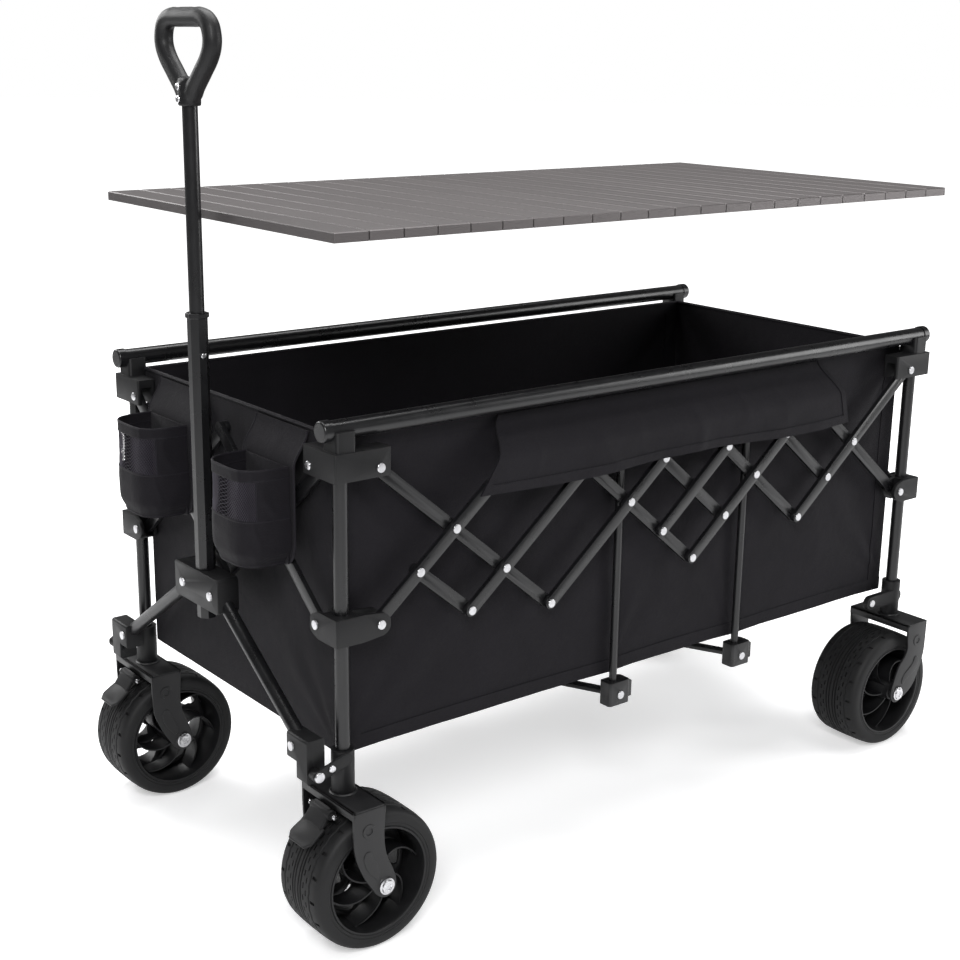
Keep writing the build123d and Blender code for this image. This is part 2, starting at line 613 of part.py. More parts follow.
def outer_pole():
    pole = tube((POLE_X, 0, POLE_LOW + 3), (POLE_X, 0, POLE_TOP), POLE_R, POLE_BORE_R)
    pole += rod((POLE_X, 0, POLE_LOW), (POLE_X, 0, HUB_Z[0] - 4), PLUG_R)
    collar = tube((POLE_X, 0, POLE_TOP - 7), (POLE_X, 0, POLE_TOP + 1), COLLAR_R, ROD_R + 0.2)
    pole = pole + collar
    return [(pole - rod((POLE_X, 0, BUTTON_Z), (POLE_X, -30, BUTTON_Z), 4.2)).solid()]


def lock_button():
    button = rod((POLE_X, -POLE_BORE_R - 0.1, BUTTON_Z), (POLE_X, -POLE_R - 3, BUTTON_Z), 4.0)
    return [fillet(button.edges().filter_by(GeomType.CIRCLE).sort_by(Axis.Y)[0], 1.2).solid()]


def inner_rod():
    return solids_of(tube((POLE_X, 0, ROD_LOW), (POLE_X, 0, GRIP_LOW + 20), ROD_R, ROD_R - 1.5))


def grip():
    """D-shaped hand grip, a rounded loop on a short neck."""
    def loop(half, upper, lower, upper_r, lower_r):
        """Hull of two circles at the top and one at the foot, with depths counted from the grip's top."""
        circles = [Circle(upper_r).moved(Location((sign * half, GRIP_TOP - upper))) for sign in (1, -1)]
        circles.append(Circle(lower_r).moved(Location((0, GRIP_TOP - lower))))
        return make_hull([edge for circle in circles for edge in circle.edges()])
    outer = loop(half=47, upper=32, lower=106, upper_r=32, lower_r=14)
    inner = loop(half=39.5, upper=42, lower=81, upper_r=14, lower_r=3)
    plane = Plane(origin=(POLE_X + GRIP_R, 0, 0), x_dir=(0, 1, 0), z_dir=(1, 0, 0))
    body = extrude(plane * (outer - inner), amount=-2 * GRIP_R)
    body += rod((POLE_X, 0, GRIP_LOW), (POLE_X, 0, GRIP_TOP - 100), NECK_R)
    return [(body - rod((POLE_X, 0, GRIP_LOW - 1), (POLE_X, 0, GRIP_LOW + 20), ROD_R + FIT)).solid()]


# ---- Assembly --------------------------------------------------------------------------------------------
parts = {
    "front_posts": pair(corner_post(-1)),
    "front_top_brackets": pair(top_bracket(FRONT_PIVOT_X)),
    "front_lower_sleeves": pair(lower_sleeve()),
    "front_end_scissors": end_scissors(),
    "basket_front": end_panel(-1),
    "pocket_left": bottle_pocket(-1),
    "pocket_right": bottle_pocket(1),
    "basket_side_left": side_panel(-1),
    "basket_side_right": side_panel(1),
    "basket_floor": floor_panel(),
    "front_mid_brackets": mid_brackets(FRONT_PIVOT_X),
    "rear_posts": pair(corner_post(1)),
    "rear_top_brackets": pair(rear(top_bracket(-REAR_PIVOT_X))),
    "rear_lower_brackets": pair(rear_lower_bracket()),
    "rear_end_scissors": [rear(solid) for solid in end_scissors()],
    "basket_rear": end_panel(1),
    "rear_mid_brackets": [rear(solid) for solid in mid_brackets(-REAR_PIVOT_X)],
    "rear_forks": fixed_forks(),
    "rear_axles": rear_axles(),
    "rails": rails(),
    "table_slats": table_slats(),
    "table_straps": hinge_straps(),
    "yoke_blocks": pair(yoke_block()),
    "yoke_struts": pair(yoke_strut()),
    "yoke_hub": solids_of(yoke_hub()),
    "handle_outer_tube": outer_pole(),
    "handle_lock_button": lock_button(),
    "handle_inner_tube": inner_rod(),
    "handle_grip": grip(),
}
for name in RISING_ENDS:
    parts["lattice_bar_" + name] = rising_bar(name)
for name in FALLING_ENDS:
    parts["lattice_bar_" + name] = falling_bar(name)
for name, x in MID_POST_X.items():
    parts["mid_posts_" + name] = mid_posts(x)
    parts["mid_post_base_" + name] = mid_post_base(x)
for side, y in (("left", -POST_Y), ("right", POST_Y)):
    parts["front_fork_" + side] = swivel_fork(y)
    parts["brake_pedal_" + side] = brake_pedal(y)
for name, (x, y) in wheel_centres().items():
    parts["tyre_" + name] = tyre(x, y)
    parts["rim_" + name] = rim(x, y)

boxes = [solid.bounding_box() for solids in parts.values() for solid in solids]
middle_x = (min(box.min.X for box in boxes) + max(box.max.X for box in boxes)) / 2
print("nodes", len(parts), "middle x", round(middle_x, 3), "lowest z", min(box.min.Z for box in boxes))

os.makedirs("parts", exist_ok=True)
for name, solids in parts.items():
    moved = [Pos(-ORIGIN_X, 0, -GROUND_Z) * solid for solid in solids_of(*solids)]
    export_step(moved[0] if len(moved) == 1 else Compound(children=moved), "parts/" + name + ".step")
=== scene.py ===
"""Looks of the folding camp wagon, built around its fixed frame.

Metres. The handle is at -X, the wagon's right side at +Y, and +Z is up.
"""

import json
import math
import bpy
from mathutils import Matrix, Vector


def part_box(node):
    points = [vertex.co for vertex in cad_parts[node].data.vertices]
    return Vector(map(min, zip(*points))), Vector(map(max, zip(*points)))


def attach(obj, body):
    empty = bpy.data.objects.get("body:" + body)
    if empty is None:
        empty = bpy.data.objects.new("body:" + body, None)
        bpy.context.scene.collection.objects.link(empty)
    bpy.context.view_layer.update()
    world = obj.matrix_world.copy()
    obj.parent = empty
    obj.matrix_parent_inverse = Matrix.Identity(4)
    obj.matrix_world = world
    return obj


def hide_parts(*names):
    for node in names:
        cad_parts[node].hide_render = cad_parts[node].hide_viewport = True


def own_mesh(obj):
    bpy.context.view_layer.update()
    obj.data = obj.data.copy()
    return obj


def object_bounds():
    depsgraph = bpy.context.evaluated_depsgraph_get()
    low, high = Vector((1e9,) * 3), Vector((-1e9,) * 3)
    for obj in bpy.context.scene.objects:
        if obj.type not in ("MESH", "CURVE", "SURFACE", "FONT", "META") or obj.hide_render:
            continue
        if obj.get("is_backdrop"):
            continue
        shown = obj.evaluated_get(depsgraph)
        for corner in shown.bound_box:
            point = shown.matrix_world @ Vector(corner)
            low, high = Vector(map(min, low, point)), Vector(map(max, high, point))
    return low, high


bl_info = {
    "name": "Folding camp wagon",
    "version": (1, 0, 0),
    "blender": (4, 5, 0),
    "location": "3D View > Sidebar > Wagon",
    "description": "Models the fabric, wheels, forks, grip and finishes of a folding camp wagon",
    "category": "Object",
}

import bmesh
import bpy
from mathutils import Matrix, Vector, noise

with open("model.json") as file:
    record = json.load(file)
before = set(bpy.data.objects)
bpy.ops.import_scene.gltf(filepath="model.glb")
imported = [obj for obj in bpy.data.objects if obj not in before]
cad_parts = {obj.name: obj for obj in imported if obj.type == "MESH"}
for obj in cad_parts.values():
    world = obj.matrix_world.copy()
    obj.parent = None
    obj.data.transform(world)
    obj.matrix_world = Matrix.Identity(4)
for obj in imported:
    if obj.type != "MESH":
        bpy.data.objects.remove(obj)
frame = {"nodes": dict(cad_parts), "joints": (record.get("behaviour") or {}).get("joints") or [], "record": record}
CAD_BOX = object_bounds()
SIDES = {"left": -1, "right": 1}


def span(node, axis):
    """Lowest and highest place of a frame node along an axis."""
    low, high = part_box(node)
    return low[axis], high[axis]


def joint(name):
    """The frame's joint of that name."""
    return next(j for j in frame["joints"] if j["name"] == name)


# places that everything else is worked out from
PANEL_LOW, PANEL_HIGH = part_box("basket_side_right")
SIDE_Y = PANEL_HIGH.y
FRONT_X = span("basket_front", 0)[0]
REAR_X = span("basket_rear", 0)[1]
BAR_FACE_Y = span("lattice_bar_a", 1)[1] + 0.008
POST_X = joint("caster_left_swivel")["pos_m"][0]
POST_Y = joint("caster_right_swivel")["pos_m"][1]
REAR_POST_X = sum(span("rear_posts", 0)) / 2
WHEELS = {j["child"][6:]: Vector(j["pos_m"]) for j in frame["joints"] if j["child"].startswith("wheel_")}
MID_POSTS = [sum(span("mid_posts_" + end, 0)) / 2 for end in ("front", "rear")]
ENDS = (("front", FRONT_X, -1, "front_frame"), ("rear", REAR_X, 1, "rear_frame"))
HEAD_DEPTH = 0.0022  # zinc starts this far behind a rivet head's crown
LINK_FACE_Y, LUG_FACE_Y, BRACE_FOOT_Y = 0.3063, 0.3022, 0.2912  # faces that the lower rivets stand on
SLEEVE_REACH, LUG_REACH = 0.021, 0.040  # from the post axes to the front of those faces


# ---- What a user may change ----------------------------------------------------------------------
def colour_property(name, words, value):
    """A colour that the user may change."""
    return bpy.props.FloatVectorProperty(
        name=name, description=words, default=value, subtype="COLOR", min=0, max=1)


def length_property(name, words, value):
    """A length that the user may change."""
    return bpy.props.FloatProperty(
        name=name, description=words, default=value, unit="LENGTH", subtype="DISTANCE")


class WagonColours(bpy.types.PropertyGroup):
    """Base colours of the finishes"""

    steel: colour_property("Steel", "Powder-coated tubes and bars", (0.0065, 0.0065, 0.0072))
    bracket: colour_property("Brackets", "Moulded corner brackets", (0.0070, 0.0070, 0.0076))
    fabric: colour_property("Fabric", "Woven basket fabric", (0.0066, 0.0058, 0.0078))
    rubber: colour_property("Tyres", "Tread rubber", (0.0072, 0.0072, 0.0076))
    zinc: colour_property("Zinc", "Rivets and bolts", (0.78, 0.78, 0.80))
    table: colour_property("Table", "Anodised slats", (0.120, 0.110, 0.110))


class WagonSizes(bpy.types.PropertyGroup):
    """Thicknesses and widths of the soft goods and sheet parts"""

    cloth: length_property("Cloth", "Thickness of the basket fabric", 0.0018)
    hem: length_property("Hem", "Height of the sewn bands", 0.019)
    flap_drop: length_property("Flap", "How far the side flap hangs below the rail", 0.098)
    net_cell: length_property("Net cell", "Size of a mesh cell in the pockets", 0.0048)
    binding: length_property("Binding", "Thickness of the edge binding", 0.0032)
    edge: length_property("Edge", "Rounding of sheet-metal edges", 0.0009)


class WagonView(bpy.types.PropertyGroup):
    """Camera of the stage"""

    place: bpy.props.FloatVectorProperty(
        name="Camera", description="Where the camera stands", default=(-1.6419, -1.9276, 1.2102),
        unit="LENGTH", subtype="TRANSLATION")
    azimuth: bpy.props.FloatProperty(
        name="Azimuth", description="Turn about the vertical", default=math.radians(-38.4),
        subtype="ANGLE")
    elevation: bpy.props.FloatProperty(
        name="Elevation", description="How far the camera looks down", default=math.radians(15.6),
        subtype="ANGLE")
    roll: bpy.props.FloatProperty(
        name="Roll", description="Camera roll", default=math.radians(0.8), subtype="ANGLE")
    lens: bpy.props.FloatProperty(
        name="Lens", description="Focal length in millimetres", default=59.3, min=20)


def settings():
    """The scene's colours, sizes and view."""
    scene = bpy.context.scene
    return scene.wagon_colours, scene.wagon_sizes, scene.wagon_view


# ---- Modelling helpers ---------------------------------------------------------------------------
def select_only(*pieces):
    """Selects these pieces alone, the first one active."""
    bpy.ops.object.select_all(action="DESELECT")
    for piece in pieces:
        piece.select_set(True)
    bpy.context.view_layer.objects.active = pieces[0]


def start(name, shape, **size):
    """A primitive in edit mode with nothing selected."""
    bpy.ops.object.select_all(action="DESELECT")
    getattr(bpy.ops.mesh, "primitive_%s_add" % shape)(**size)
    piece = bpy.context.object
    piece.name = name
    bpy.ops.object.transform_apply(location=True, rotation=True, scale=True)
    bpy.ops.object.mode_set(mode="EDIT")
    bpy.ops.mesh.select_all(action="DESELECT")
    return piece


def edit(piece):
    """Edit mode with nothing selected."""
    select_only(piece)
    bpy.ops.object.mode_set(mode="EDIT")
    bpy.ops.mesh.select_all(action="DESELECT")


def pick_faces(piece, test):
    """Selects the faces whose centre and normal pass the test."""
    bpy.ops.mesh.select_mode(type="FACE")
    bpy.ops.mesh.select_all(action="DESELECT")
    mesh = bmesh.from_edit_mesh(piece.data)
    for face in mesh.faces:
        face.select_set(bool(test(face.calc_center_median(), face.normal)))
    mesh.select_flush_mode()
    bmesh.update_edit_mesh(piece.data)


def reshape(piece, place):
    """Moves each vertex to place(vertex position)."""
    mesh = bmesh.from_edit_mesh(piece.data)
    for vertex in mesh.verts:
        vertex.co = place(vertex.co.copy())
    bmesh.update_edit_mesh(piece.data)


def leave(piece, smooth_angle=None):
    """Back to object mode, shaded smooth up to the angle in degrees."""
    bpy.ops.object.mode_set(mode="OBJECT")
    if smooth_angle is not None:
        select_only(piece)
        bpy.ops.object.shade_smooth_by_angle(angle=math.radians(smooth_angle))
    return piece


def modify(piece, kind, **values):
    """Adds a modifier and applies it."""
    select_only(piece)
    modifier = piece.modifiers.new(kind.title(), kind)
    for key, value in values.items():
        setattr(modifier, key, value)
    bpy.ops.object.modifier_apply(modifier=modifier.name)
    return piece


def join(name, *pieces):
    """Joins the pieces into the first one."""
    select_only(*pieces)
    bpy.ops.object.join()
    pieces[0].name = name
    return pieces[0]


def copy_of(piece, name, matrix):
    """A copy with its own mesh, moved by the matrix."""
    twin = piece.copy()
    twin.data = piece.data.copy()
    twin.name = name
    bpy.context.scene.collection.objects.link(twin)
    twin.data.transform(matrix)
    if matrix.determinant() < 0:
        twin.data.flip_normals()
    return twin


def remove(piece):
    """Deletes a piece that was only copied from."""
    bpy.data.objects.remove(piece, do_unlink=True)


def lathe(name, profile, steps=64, closed=True, smooth=35):
    """A shape of revolution about Y from (radius, y) points."""
    piece = start(name, "plane", size=0.01)
    bpy.ops.mesh.select_all(action="SELECT")
    bpy.ops.mesh.merge(type="CENTER")
    reshape(piece, lambda co: Vector((profile[0][0], profile[0][1], 0)))
    bpy.ops.mesh.select_mode(type="VERT")
    bpy.ops.mesh.select_all(action="SELECT")
    points = profile[1:] + (profile[:1] if closed else [])
    for (r0, y0), (r1, y1) in zip(profile, points):
        bpy.ops.mesh.extrude_region_move(TRANSFORM_OT_translate={"value": (r1 - r0, y1 - y0, 0)})
    bpy.ops.mesh.select_all(action="SELECT")
    bpy.ops.mesh.spin(steps=steps, angle=2 * math.pi, center=(0, 0, 0), axis=(0, 1, 0))
    bpy.ops.mesh.select_all(action="SELECT")
    bpy.ops.mesh.remove_doubles(threshold=1e-5)
    bpy.ops.mesh.normals_make_consistent(inside=False)
    return leave(piece, smooth)


def outline_plate(name, points, thickness, edge, place):
    """A plate in the XZ plane with a smooth closed outline and rolled edges, its middle at place."""
    curve = bpy.data.curves.new(name, "CURVE")
    curve.dimensions, curve.fill_mode = "2D", "BOTH"
    curve.extrude, curve.bevel_depth = thickness / 2 - edge, edge
    curve.bevel_resolution, curve.resolution_u = 2, 10
    curve.offset = -edge
    spline = curve.splines.new("BEZIER")
    spline.bezier_points.add(len(points) - 1)
    for knot, (x, z, kind) in zip(spline.bezier_points, points):
        knot.co = (x, z, 0)
        knot.handle_left_type = knot.handle_right_type = kind
    spline.use_cyclic_u = True
    piece = bpy.data.objects.new(name, curve)
    bpy.context.scene.collection.objects.link(piece)
    piece.rotation_euler.x = math.pi / 2
    piece.location = place
    return curve_to_mesh(piece)


def curve_to_mesh(piece, smooth=40):
    """Turns a curve into a closed mesh with its place applied."""
    select_only(piece)
    bpy.ops.object.convert(target="MESH")
    piece = bpy.context.object
    bpy.ops.object.transform_apply(location=True, rotation=True, scale=True)
    edit(piece)
    bpy.ops.mesh.select_all(action="SELECT")
    bpy.ops.mesh.remove_doubles(threshold=1e-5)
    bpy.ops.mesh.normals_make_consistent(inside=False)
    return leave(piece, smooth)


def strand(name, points, radius, closed=False, kind="POLY", resolution=2):
    """A round strand along the points."""
    curve = bpy.data.curves.new(name, "CURVE")
    curve.dimensions = "3D"
    curve.bevel_depth, curve.bevel_resolution = radius, resolution
    curve.use_fill_caps = True
    if kind == "BEZIER":
        spline = curve.splines.new("BEZIER")
        spline.bezier_points.add(len(points) - 1)
        for knot, point in zip(spline.bezier_points, points):
            knot.co = point
            knot.handle_left_type = knot.handle_right_type = "AUTO"
    else:
        spline = curve.splines.new(kind)
        spline.points.add(len(points) - 1)
        for knot, point in zip(spline.points, points):
            knot.co = (*point, 1)
    spline.use_cyclic_u = closed
    piece = bpy.data.objects.new(name, curve)
    bpy.context.scene.collection.objects.link(piece)
    return curve_to_mesh(piece)


def rounded_box(name, low, high, edge):
    """A box between two corners with its edges rounded."""
    centre = [(a + b) / 2 for a, b in zip(low, high)]
    piece = start(name, "cube", size=1, location=centre, scale=[b - a for a, b in zip(low, high)])
    bpy.ops.mesh.select_all(action="SELECT")
    bpy.ops.mesh.bevel(offset=edge, segments=2, affect="EDGES")
    return leave(piece, 35)


def smoothstep(value):
    """0 to 1 with a soft start and end."""
    value = min(max(value, 0.0), 1.0)
    return value * value * (3 - 2 * value)


# ---- Materials -----------------------------------------------------------------------------------
class Nodes:
    """Builds one material's nodes."""

    def __init__(self, name):
        self.material = bpy.data.materials.new(name)
        self.material.use_nodes = True
        self.tree = self.material.node_tree
        self.shader = next(n for n in self.tree.nodes if n.type == "BSDF_PRINCIPLED")
        self.coordinates = self.add("ShaderNodeTexCoord").outputs["Object"]

    def add(self, kind, inputs=(), **values):
        """A node with its settings and inputs, linked or plain."""
        node = self.tree.nodes.new(kind)
        for key, value in values.items():
            setattr(node, key, value)
        for key, value in dict(inputs).items():
            if isinstance(value, bpy.types.NodeSocket):
                self.tree.links.new(value, node.inputs[key])
            else:
                node.inputs[key].default_value = value
        return node

    def gloss(self, level):
        """How strongly the surface mirrors its surroundings."""
        self.shader.inputs["Specular IOR Level"].default_value = level

    def rivet_mask(self, tests):
        """1 where the place passes every (axis, limit, sign) test, or any test after the word "any"."""
        joined = "MULTIPLY"
        mask = None
        for test in tests:
            if test == "any":
                joined = "MAXIMUM"
                continue
            letter, limit, sign = test
            value = self.axis(letter)
            if sign == 0:
                value = self.math("ABSOLUTE", value)
            result = self.math("LESS_THAN" if sign < 0 else "GREATER_THAN", value, limit)
            mask = result if mask is None else self.math(joined, mask, result)
        return mask

    def plate_rivets(self, tests, zinc, tint, rough):
        """Adds zinc where the tests pass. Returns the tint, the roughness and the metal share."""
        mask = self.rivet_mask(tests)
        bright = self.mix(self.noise(260, 3), shade(zinc, 0.62), shade(zinc, 0.95))
        rough = self.math("MULTIPLY_ADD", mask, self.math("SUBTRACT", 0.3, rough), rough)
        return self.mix(mask, tint, bright), rough, mask

    def feed(self, socket, value):
        """Links or sets one of the shader's own sockets."""
        if isinstance(value, bpy.types.NodeSocket):
            self.tree.links.new(value, self.shader.inputs[socket])
        else:
            self.shader.inputs[socket].default_value = value

    def math(self, operation, a, b=0.0, c=0.0):
        """One step of arithmetic."""
        return self.add("ShaderNodeMath", {0: a, 1: b, 2: c}, operation=operation).outputs[0]

    def mix(self, factor, a, b):
        """A colour between a and b."""
        node = self.add("ShaderNodeMix", data_type="RGBA")
        for socket, value in ((0, factor), (6, a), (7, b)):
            if isinstance(value, bpy.types.NodeSocket):
                self.tree.links.new(value, node.inputs[socket])
            else:
                node.inputs[socket].default_value = value
        return node.outputs[2]

    def noise(self, scale, detail=3.0, stretch=(1, 1, 1), roughness=0.5):
        """Noise over the piece's own places."""
        mapping = self.add("ShaderNodeMapping", {"Vector": self.coordinates, "Scale": stretch})
        inputs = {"Vector": mapping.outputs[0], "Scale": scale, "Detail": detail, "Roughness": roughness}
        return self.add("ShaderNodeTexNoise", inputs).outputs["Fac"]

    def band(self, value, low, high):
        """The range 0 to 1 spread from low to high."""
        inputs = {"Value": value, "To Min": low, "To Max": high}
        return self.add("ShaderNodeMapRange", inputs).outputs[0]

    def axis(self, letter):
        """The place along one axis."""
        return self.add("ShaderNodeSeparateXYZ", {0: self.coordinates}).outputs[letter]

    def bump(self, height, distance, strength=1.0, under=None):
        """A raised skin, on top of another one if given."""
        inputs = {"Height": height, "Distance": distance, "Strength": strength}
        if under is not None:
            inputs["Normal"] = under
        return self.add("ShaderNodeBump", inputs).outputs[0]


def shade(colour, factor):
    """The colour, darker or brighter, with full alpha."""
    return tuple(min(1.0, channel * factor) for channel in colour[:3]) + (1.0,)


def coated_steel(name, colour, roughness=0.27, rivets=None, zinc=None):
    """Powder coat with a fine orange-peel skin and rubbed patches."""
    n = Nodes(name)
    patches = n.noise(38, 4)
    tint = n.mix(patches, shade(colour, 0.8), shade(colour, 1.4))
    rough = n.band(patches, roughness - 0.05, roughness + 0.09)
    metal = 0.0
    if rivets:
        tint, rough, metal = n.plate_rivets(rivets, zinc, tint, rough)
    n.feed("Base Color", tint)
    n.feed("Roughness", rough)
    n.feed("Metallic", metal)
    n.gloss(0.5)
    n.feed("Normal", n.bump(n.noise(900, 2), 0.00006, 0.5, n.bump(n.noise(120, 3), 0.0001, 0.4)))
    return n.material


def moulded(name, colour, roughness=0.46, grain=650, rivets=None, zinc=None):
    """Moulded plastic with a leather-like grain."""
    n = Nodes(name)
    inputs = {"Vector": n.coordinates, "Scale": grain, "Randomness": 0.9}
    cells = n.add("ShaderNodeTexVoronoi", inputs, feature="SMOOTH_F1").outputs["Distance"]
    scuffs = n.noise(55, 5)
    tint = n.mix(scuffs, shade(colour, 0.85), shade(colour, 1.4))
    rough = n.band(scuffs, roughness - 0.05, roughness + 0.12)
    metal = 0.0
    if rivets:
        tint, rough, metal = n.plate_rivets(rivets, zinc, tint, rough)
    n.feed("Base Color", tint)
    n.feed("Roughness", rough)
    n.feed("Metallic", metal)
    n.gloss(0.32)
    n.feed("Normal", n.bump(cells, 0.00012, 0.6))
    return n.material


def woven(name, colour, axes, pitch=0.0016, roughness=0.72):
    """Plain-weave polyester: over and under threads along two axes, with soft creases: bumped folds with painted
    shade in their hollows and painted sheen on their ridges.
    """
    n = Nodes(name)
    threads = [n.math("SINE", n.math("MULTIPLY", n.axis(letter), 2 * math.pi / pitch)) for letter in axes]
    weave = n.math("MULTIPLY", *threads)
    slub = n.noise(420, 2)
    creases = n.noise(9, 5, roughness=0.62)
    # painted shade and sheen: the colour darkens where the crease noise is low and lightens where it is high, the
    # same noise that raises the folds below
    tint = n.mix(n.band(creases, 0.1, 0.9), shade(colour, 0.7), shade(colour, 1.6))
    tint = n.mix(n.band(weave, 0.0, 0.25), tint, shade(colour, 0.5))
    n.feed("Base Color", tint)
    n.feed("Roughness", n.band(slub, roughness - 0.08, roughness + 0.12))
    n.feed("Sheen Weight", 0.03)
    n.feed("Sheen Roughness", 0.45)
    n.gloss(0.16)
    folds = n.bump(creases, 0.006, 0.55)
    n.feed("Normal", n.bump(n.math("ADD", weave, slub), 0.00025, 0.5, folds))
    return n.material


def tread_rubber(name, colour):
    """Matt rubber with a light, uneven dust."""
    n = Nodes(name)
    dust = n.noise(70, 6, roughness=0.65)
    n.feed("Base Color", n.mix(n.band(dust, 0, 1), shade(colour, 0.8), shade(colour, 1.9)))
    n.feed("Roughness", n.band(dust, 0.48, 0.70))
    n.gloss(0.3)
    n.feed("Normal", n.bump(n.noise(700, 3), 0.00012, 0.6))
    return n.material


def bright_metal(name, colour):
    """Bright zinc with a fine brushed skin."""
    n = Nodes(name)
    marks = n.noise(240, 4)
    n.feed("Base Color", n.mix(marks, shade(colour, 0.7), shade(colour, 1.05)))
    n.feed("Metallic", 1.0)
    n.feed("Roughness", n.band(marks, 0.18, 0.36))
    n.feed("Normal", n.bump(n.noise(900, 2), 0.00005, 0.4))
    return n.material


def anodised(name, colour, first, pitch):
    """Anodised slats: fine lines along each slat and a small tone step from slat to slat."""
    n = Nodes(name)
    lines = n.noise(1, 3, stretch=(1500, 12, 1500))
    index = n.math("FLOOR", n.math("DIVIDE", n.math("SUBTRACT", n.axis("X"), first), pitch))
    scatter = n.math("SINE", n.math("MULTIPLY", index, 12.9898))
    step = n.math("FRACT", n.math("MULTIPLY", scatter, 43.758))
    broad = n.noise(6, 3)
    tone = n.mix(step, shade(colour, 0.93), shade(colour, 1.08))
    tone = n.mix(n.band(broad, 0.0, 0.5), tone, shade(colour, 1.25))
    n.feed("Base Color", n.mix(n.band(lines, 0.0, 0.35), tone, shade(colour, 0.72)))
    n.feed("Metallic", 0.55)
    n.feed("Roughness", n.band(lines, 0.36, 0.5))
    n.feed("Normal", n.bump(lines, 0.00008, 0.5))
    return n.material


def paper_floor(name, value):
    """White sweep with a painted glow: bright to the camera, dimmer near the wagon as painted shade round it and
    whiter further out, so that only soft shadows show, and dim to the wagon above it.
    """
    n = Nodes(name)
    cooler = (value * 0.985, value * 0.985, value, 1)
    n.feed("Base Color", n.mix(n.noise(3, 3), (value, value, value, 1), cooler))
    n.feed("Roughness", 0.7)
    n.feed("Emission Color", (1, 1, 1, 1))
    away = n.add("ShaderNodeVectorMath", {0: n.coordinates}, operation="LENGTH").outputs["Value"]
    # painted glow for camera rays: lower near the wagon as painted shade round it, rising to full white further
    # out
    inputs = {"Value": away, "From Min": 1.0, "From Max": 3.2, "To Min": 0.44, "To Max": 1.15}
    painted_glow = n.add("ShaderNodeMapRange", inputs, interpolation_type="SMOOTHSTEP").outputs[0]
    camera = n.add("ShaderNodeLightPath").outputs["Is Camera Ray"]
    n.feed("Emission Strength", n.math("MULTIPLY_ADD", n.math("SUBTRACT", painted_glow, 0.12), camera, 0.12))
    n.gloss(0.1)
    return n.material


def dress(piece, material):
    """Gives a piece its only material."""
    piece.data.materials.clear()
    piece.data.materials.append(material)
    return piece


def settle(piece, material, body, slot, *nodes):
    """Gives a finished piece its material, the body it rides on and the frame nodes that it stands for."""
    dress(piece, material)
    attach(piece, body)
    if nodes:
        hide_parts(*nodes)
    return piece


# ---- Frame parts that keep their shape -----------------------------------------------------------
def softened(node, width, angle=32):
    """A copy of a frame node with its sharp edges rounded."""
    source = frame["nodes"][node]
    piece = copy_of(source, node + "_finished", Matrix.Identity(4))
    piece.parent = None
    for key in list(piece.keys()):
        del piece[key]
    edit(piece)
    bpy.ops.mesh.select_all(action="SELECT")
    bpy.ops.mesh.remove_doubles(threshold=2e-6)
    bpy.ops.mesh.dissolve_limited(angle_limit=math.radians(1.5))
    bpy.ops.object.mode_set(mode="OBJECT")
    modify(piece, "BEVEL", width=width, segments=2, limit_method="ANGLE", angle_limit=math.radians(angle),
           use_clamp_overlap=True, harden_normals=False)
    select_only(piece)
    bpy.ops.object.shade_smooth_by_angle(angle=math.radians(30))
    return piece


def body_of_node(node):
    """The moving body that a frame node belongs to."""
    groups = frame["record"]["behaviour"]["bodies"]
    return next(body for body, nodes in groups.items() if node in nodes)


def slot_of_node(node):
    """The material slot of a frame node."""
    return next(s["material_slot"] for s in frame["record"]["subparts"] if s["node"] == node)


def rivet(name, place, direction, finish, body, radius=0.0062):
    """A domed rivet head on the face at place, facing direction."""
    r, tall = radius, 0.0024
    profile = [(r * 0.98, -0.0003), (r, tall * 0.4), (r * 0.86, tall * 0.85), (r * 0.5, tall),
               (0.00001, tall)]
    head = lathe(name, profile, 24, closed=False)
    turns = {"Y": (0, "X"), "-Y": (math.pi, "X"), "-X": (math.pi / 2, "Z"), "X": (-math.pi / 2, "Z")}
    angle, axis = turns[direction]
    head.data.transform(Matrix.Translation(place) @ Matrix.Rotation(angle, 4, axis))
    edit(head)
    bpy.ops.mesh.select_mode(type="EDGE")
    bpy.ops.mesh.select_non_manifold()
    bpy.ops.mesh.edge_face_add()
    leave(head, 40)
    return settle(head, finish, body, "bolt_steel")


def heads_on(node, sign):
    """The test for rivet heads on a node's front (-1) or rear (1) face."""
    low, high = span(node, 0)
    limit = low + HEAD_DEPTH if sign < 0 else high - HEAD_DEPTH
    return "X", limit, sign


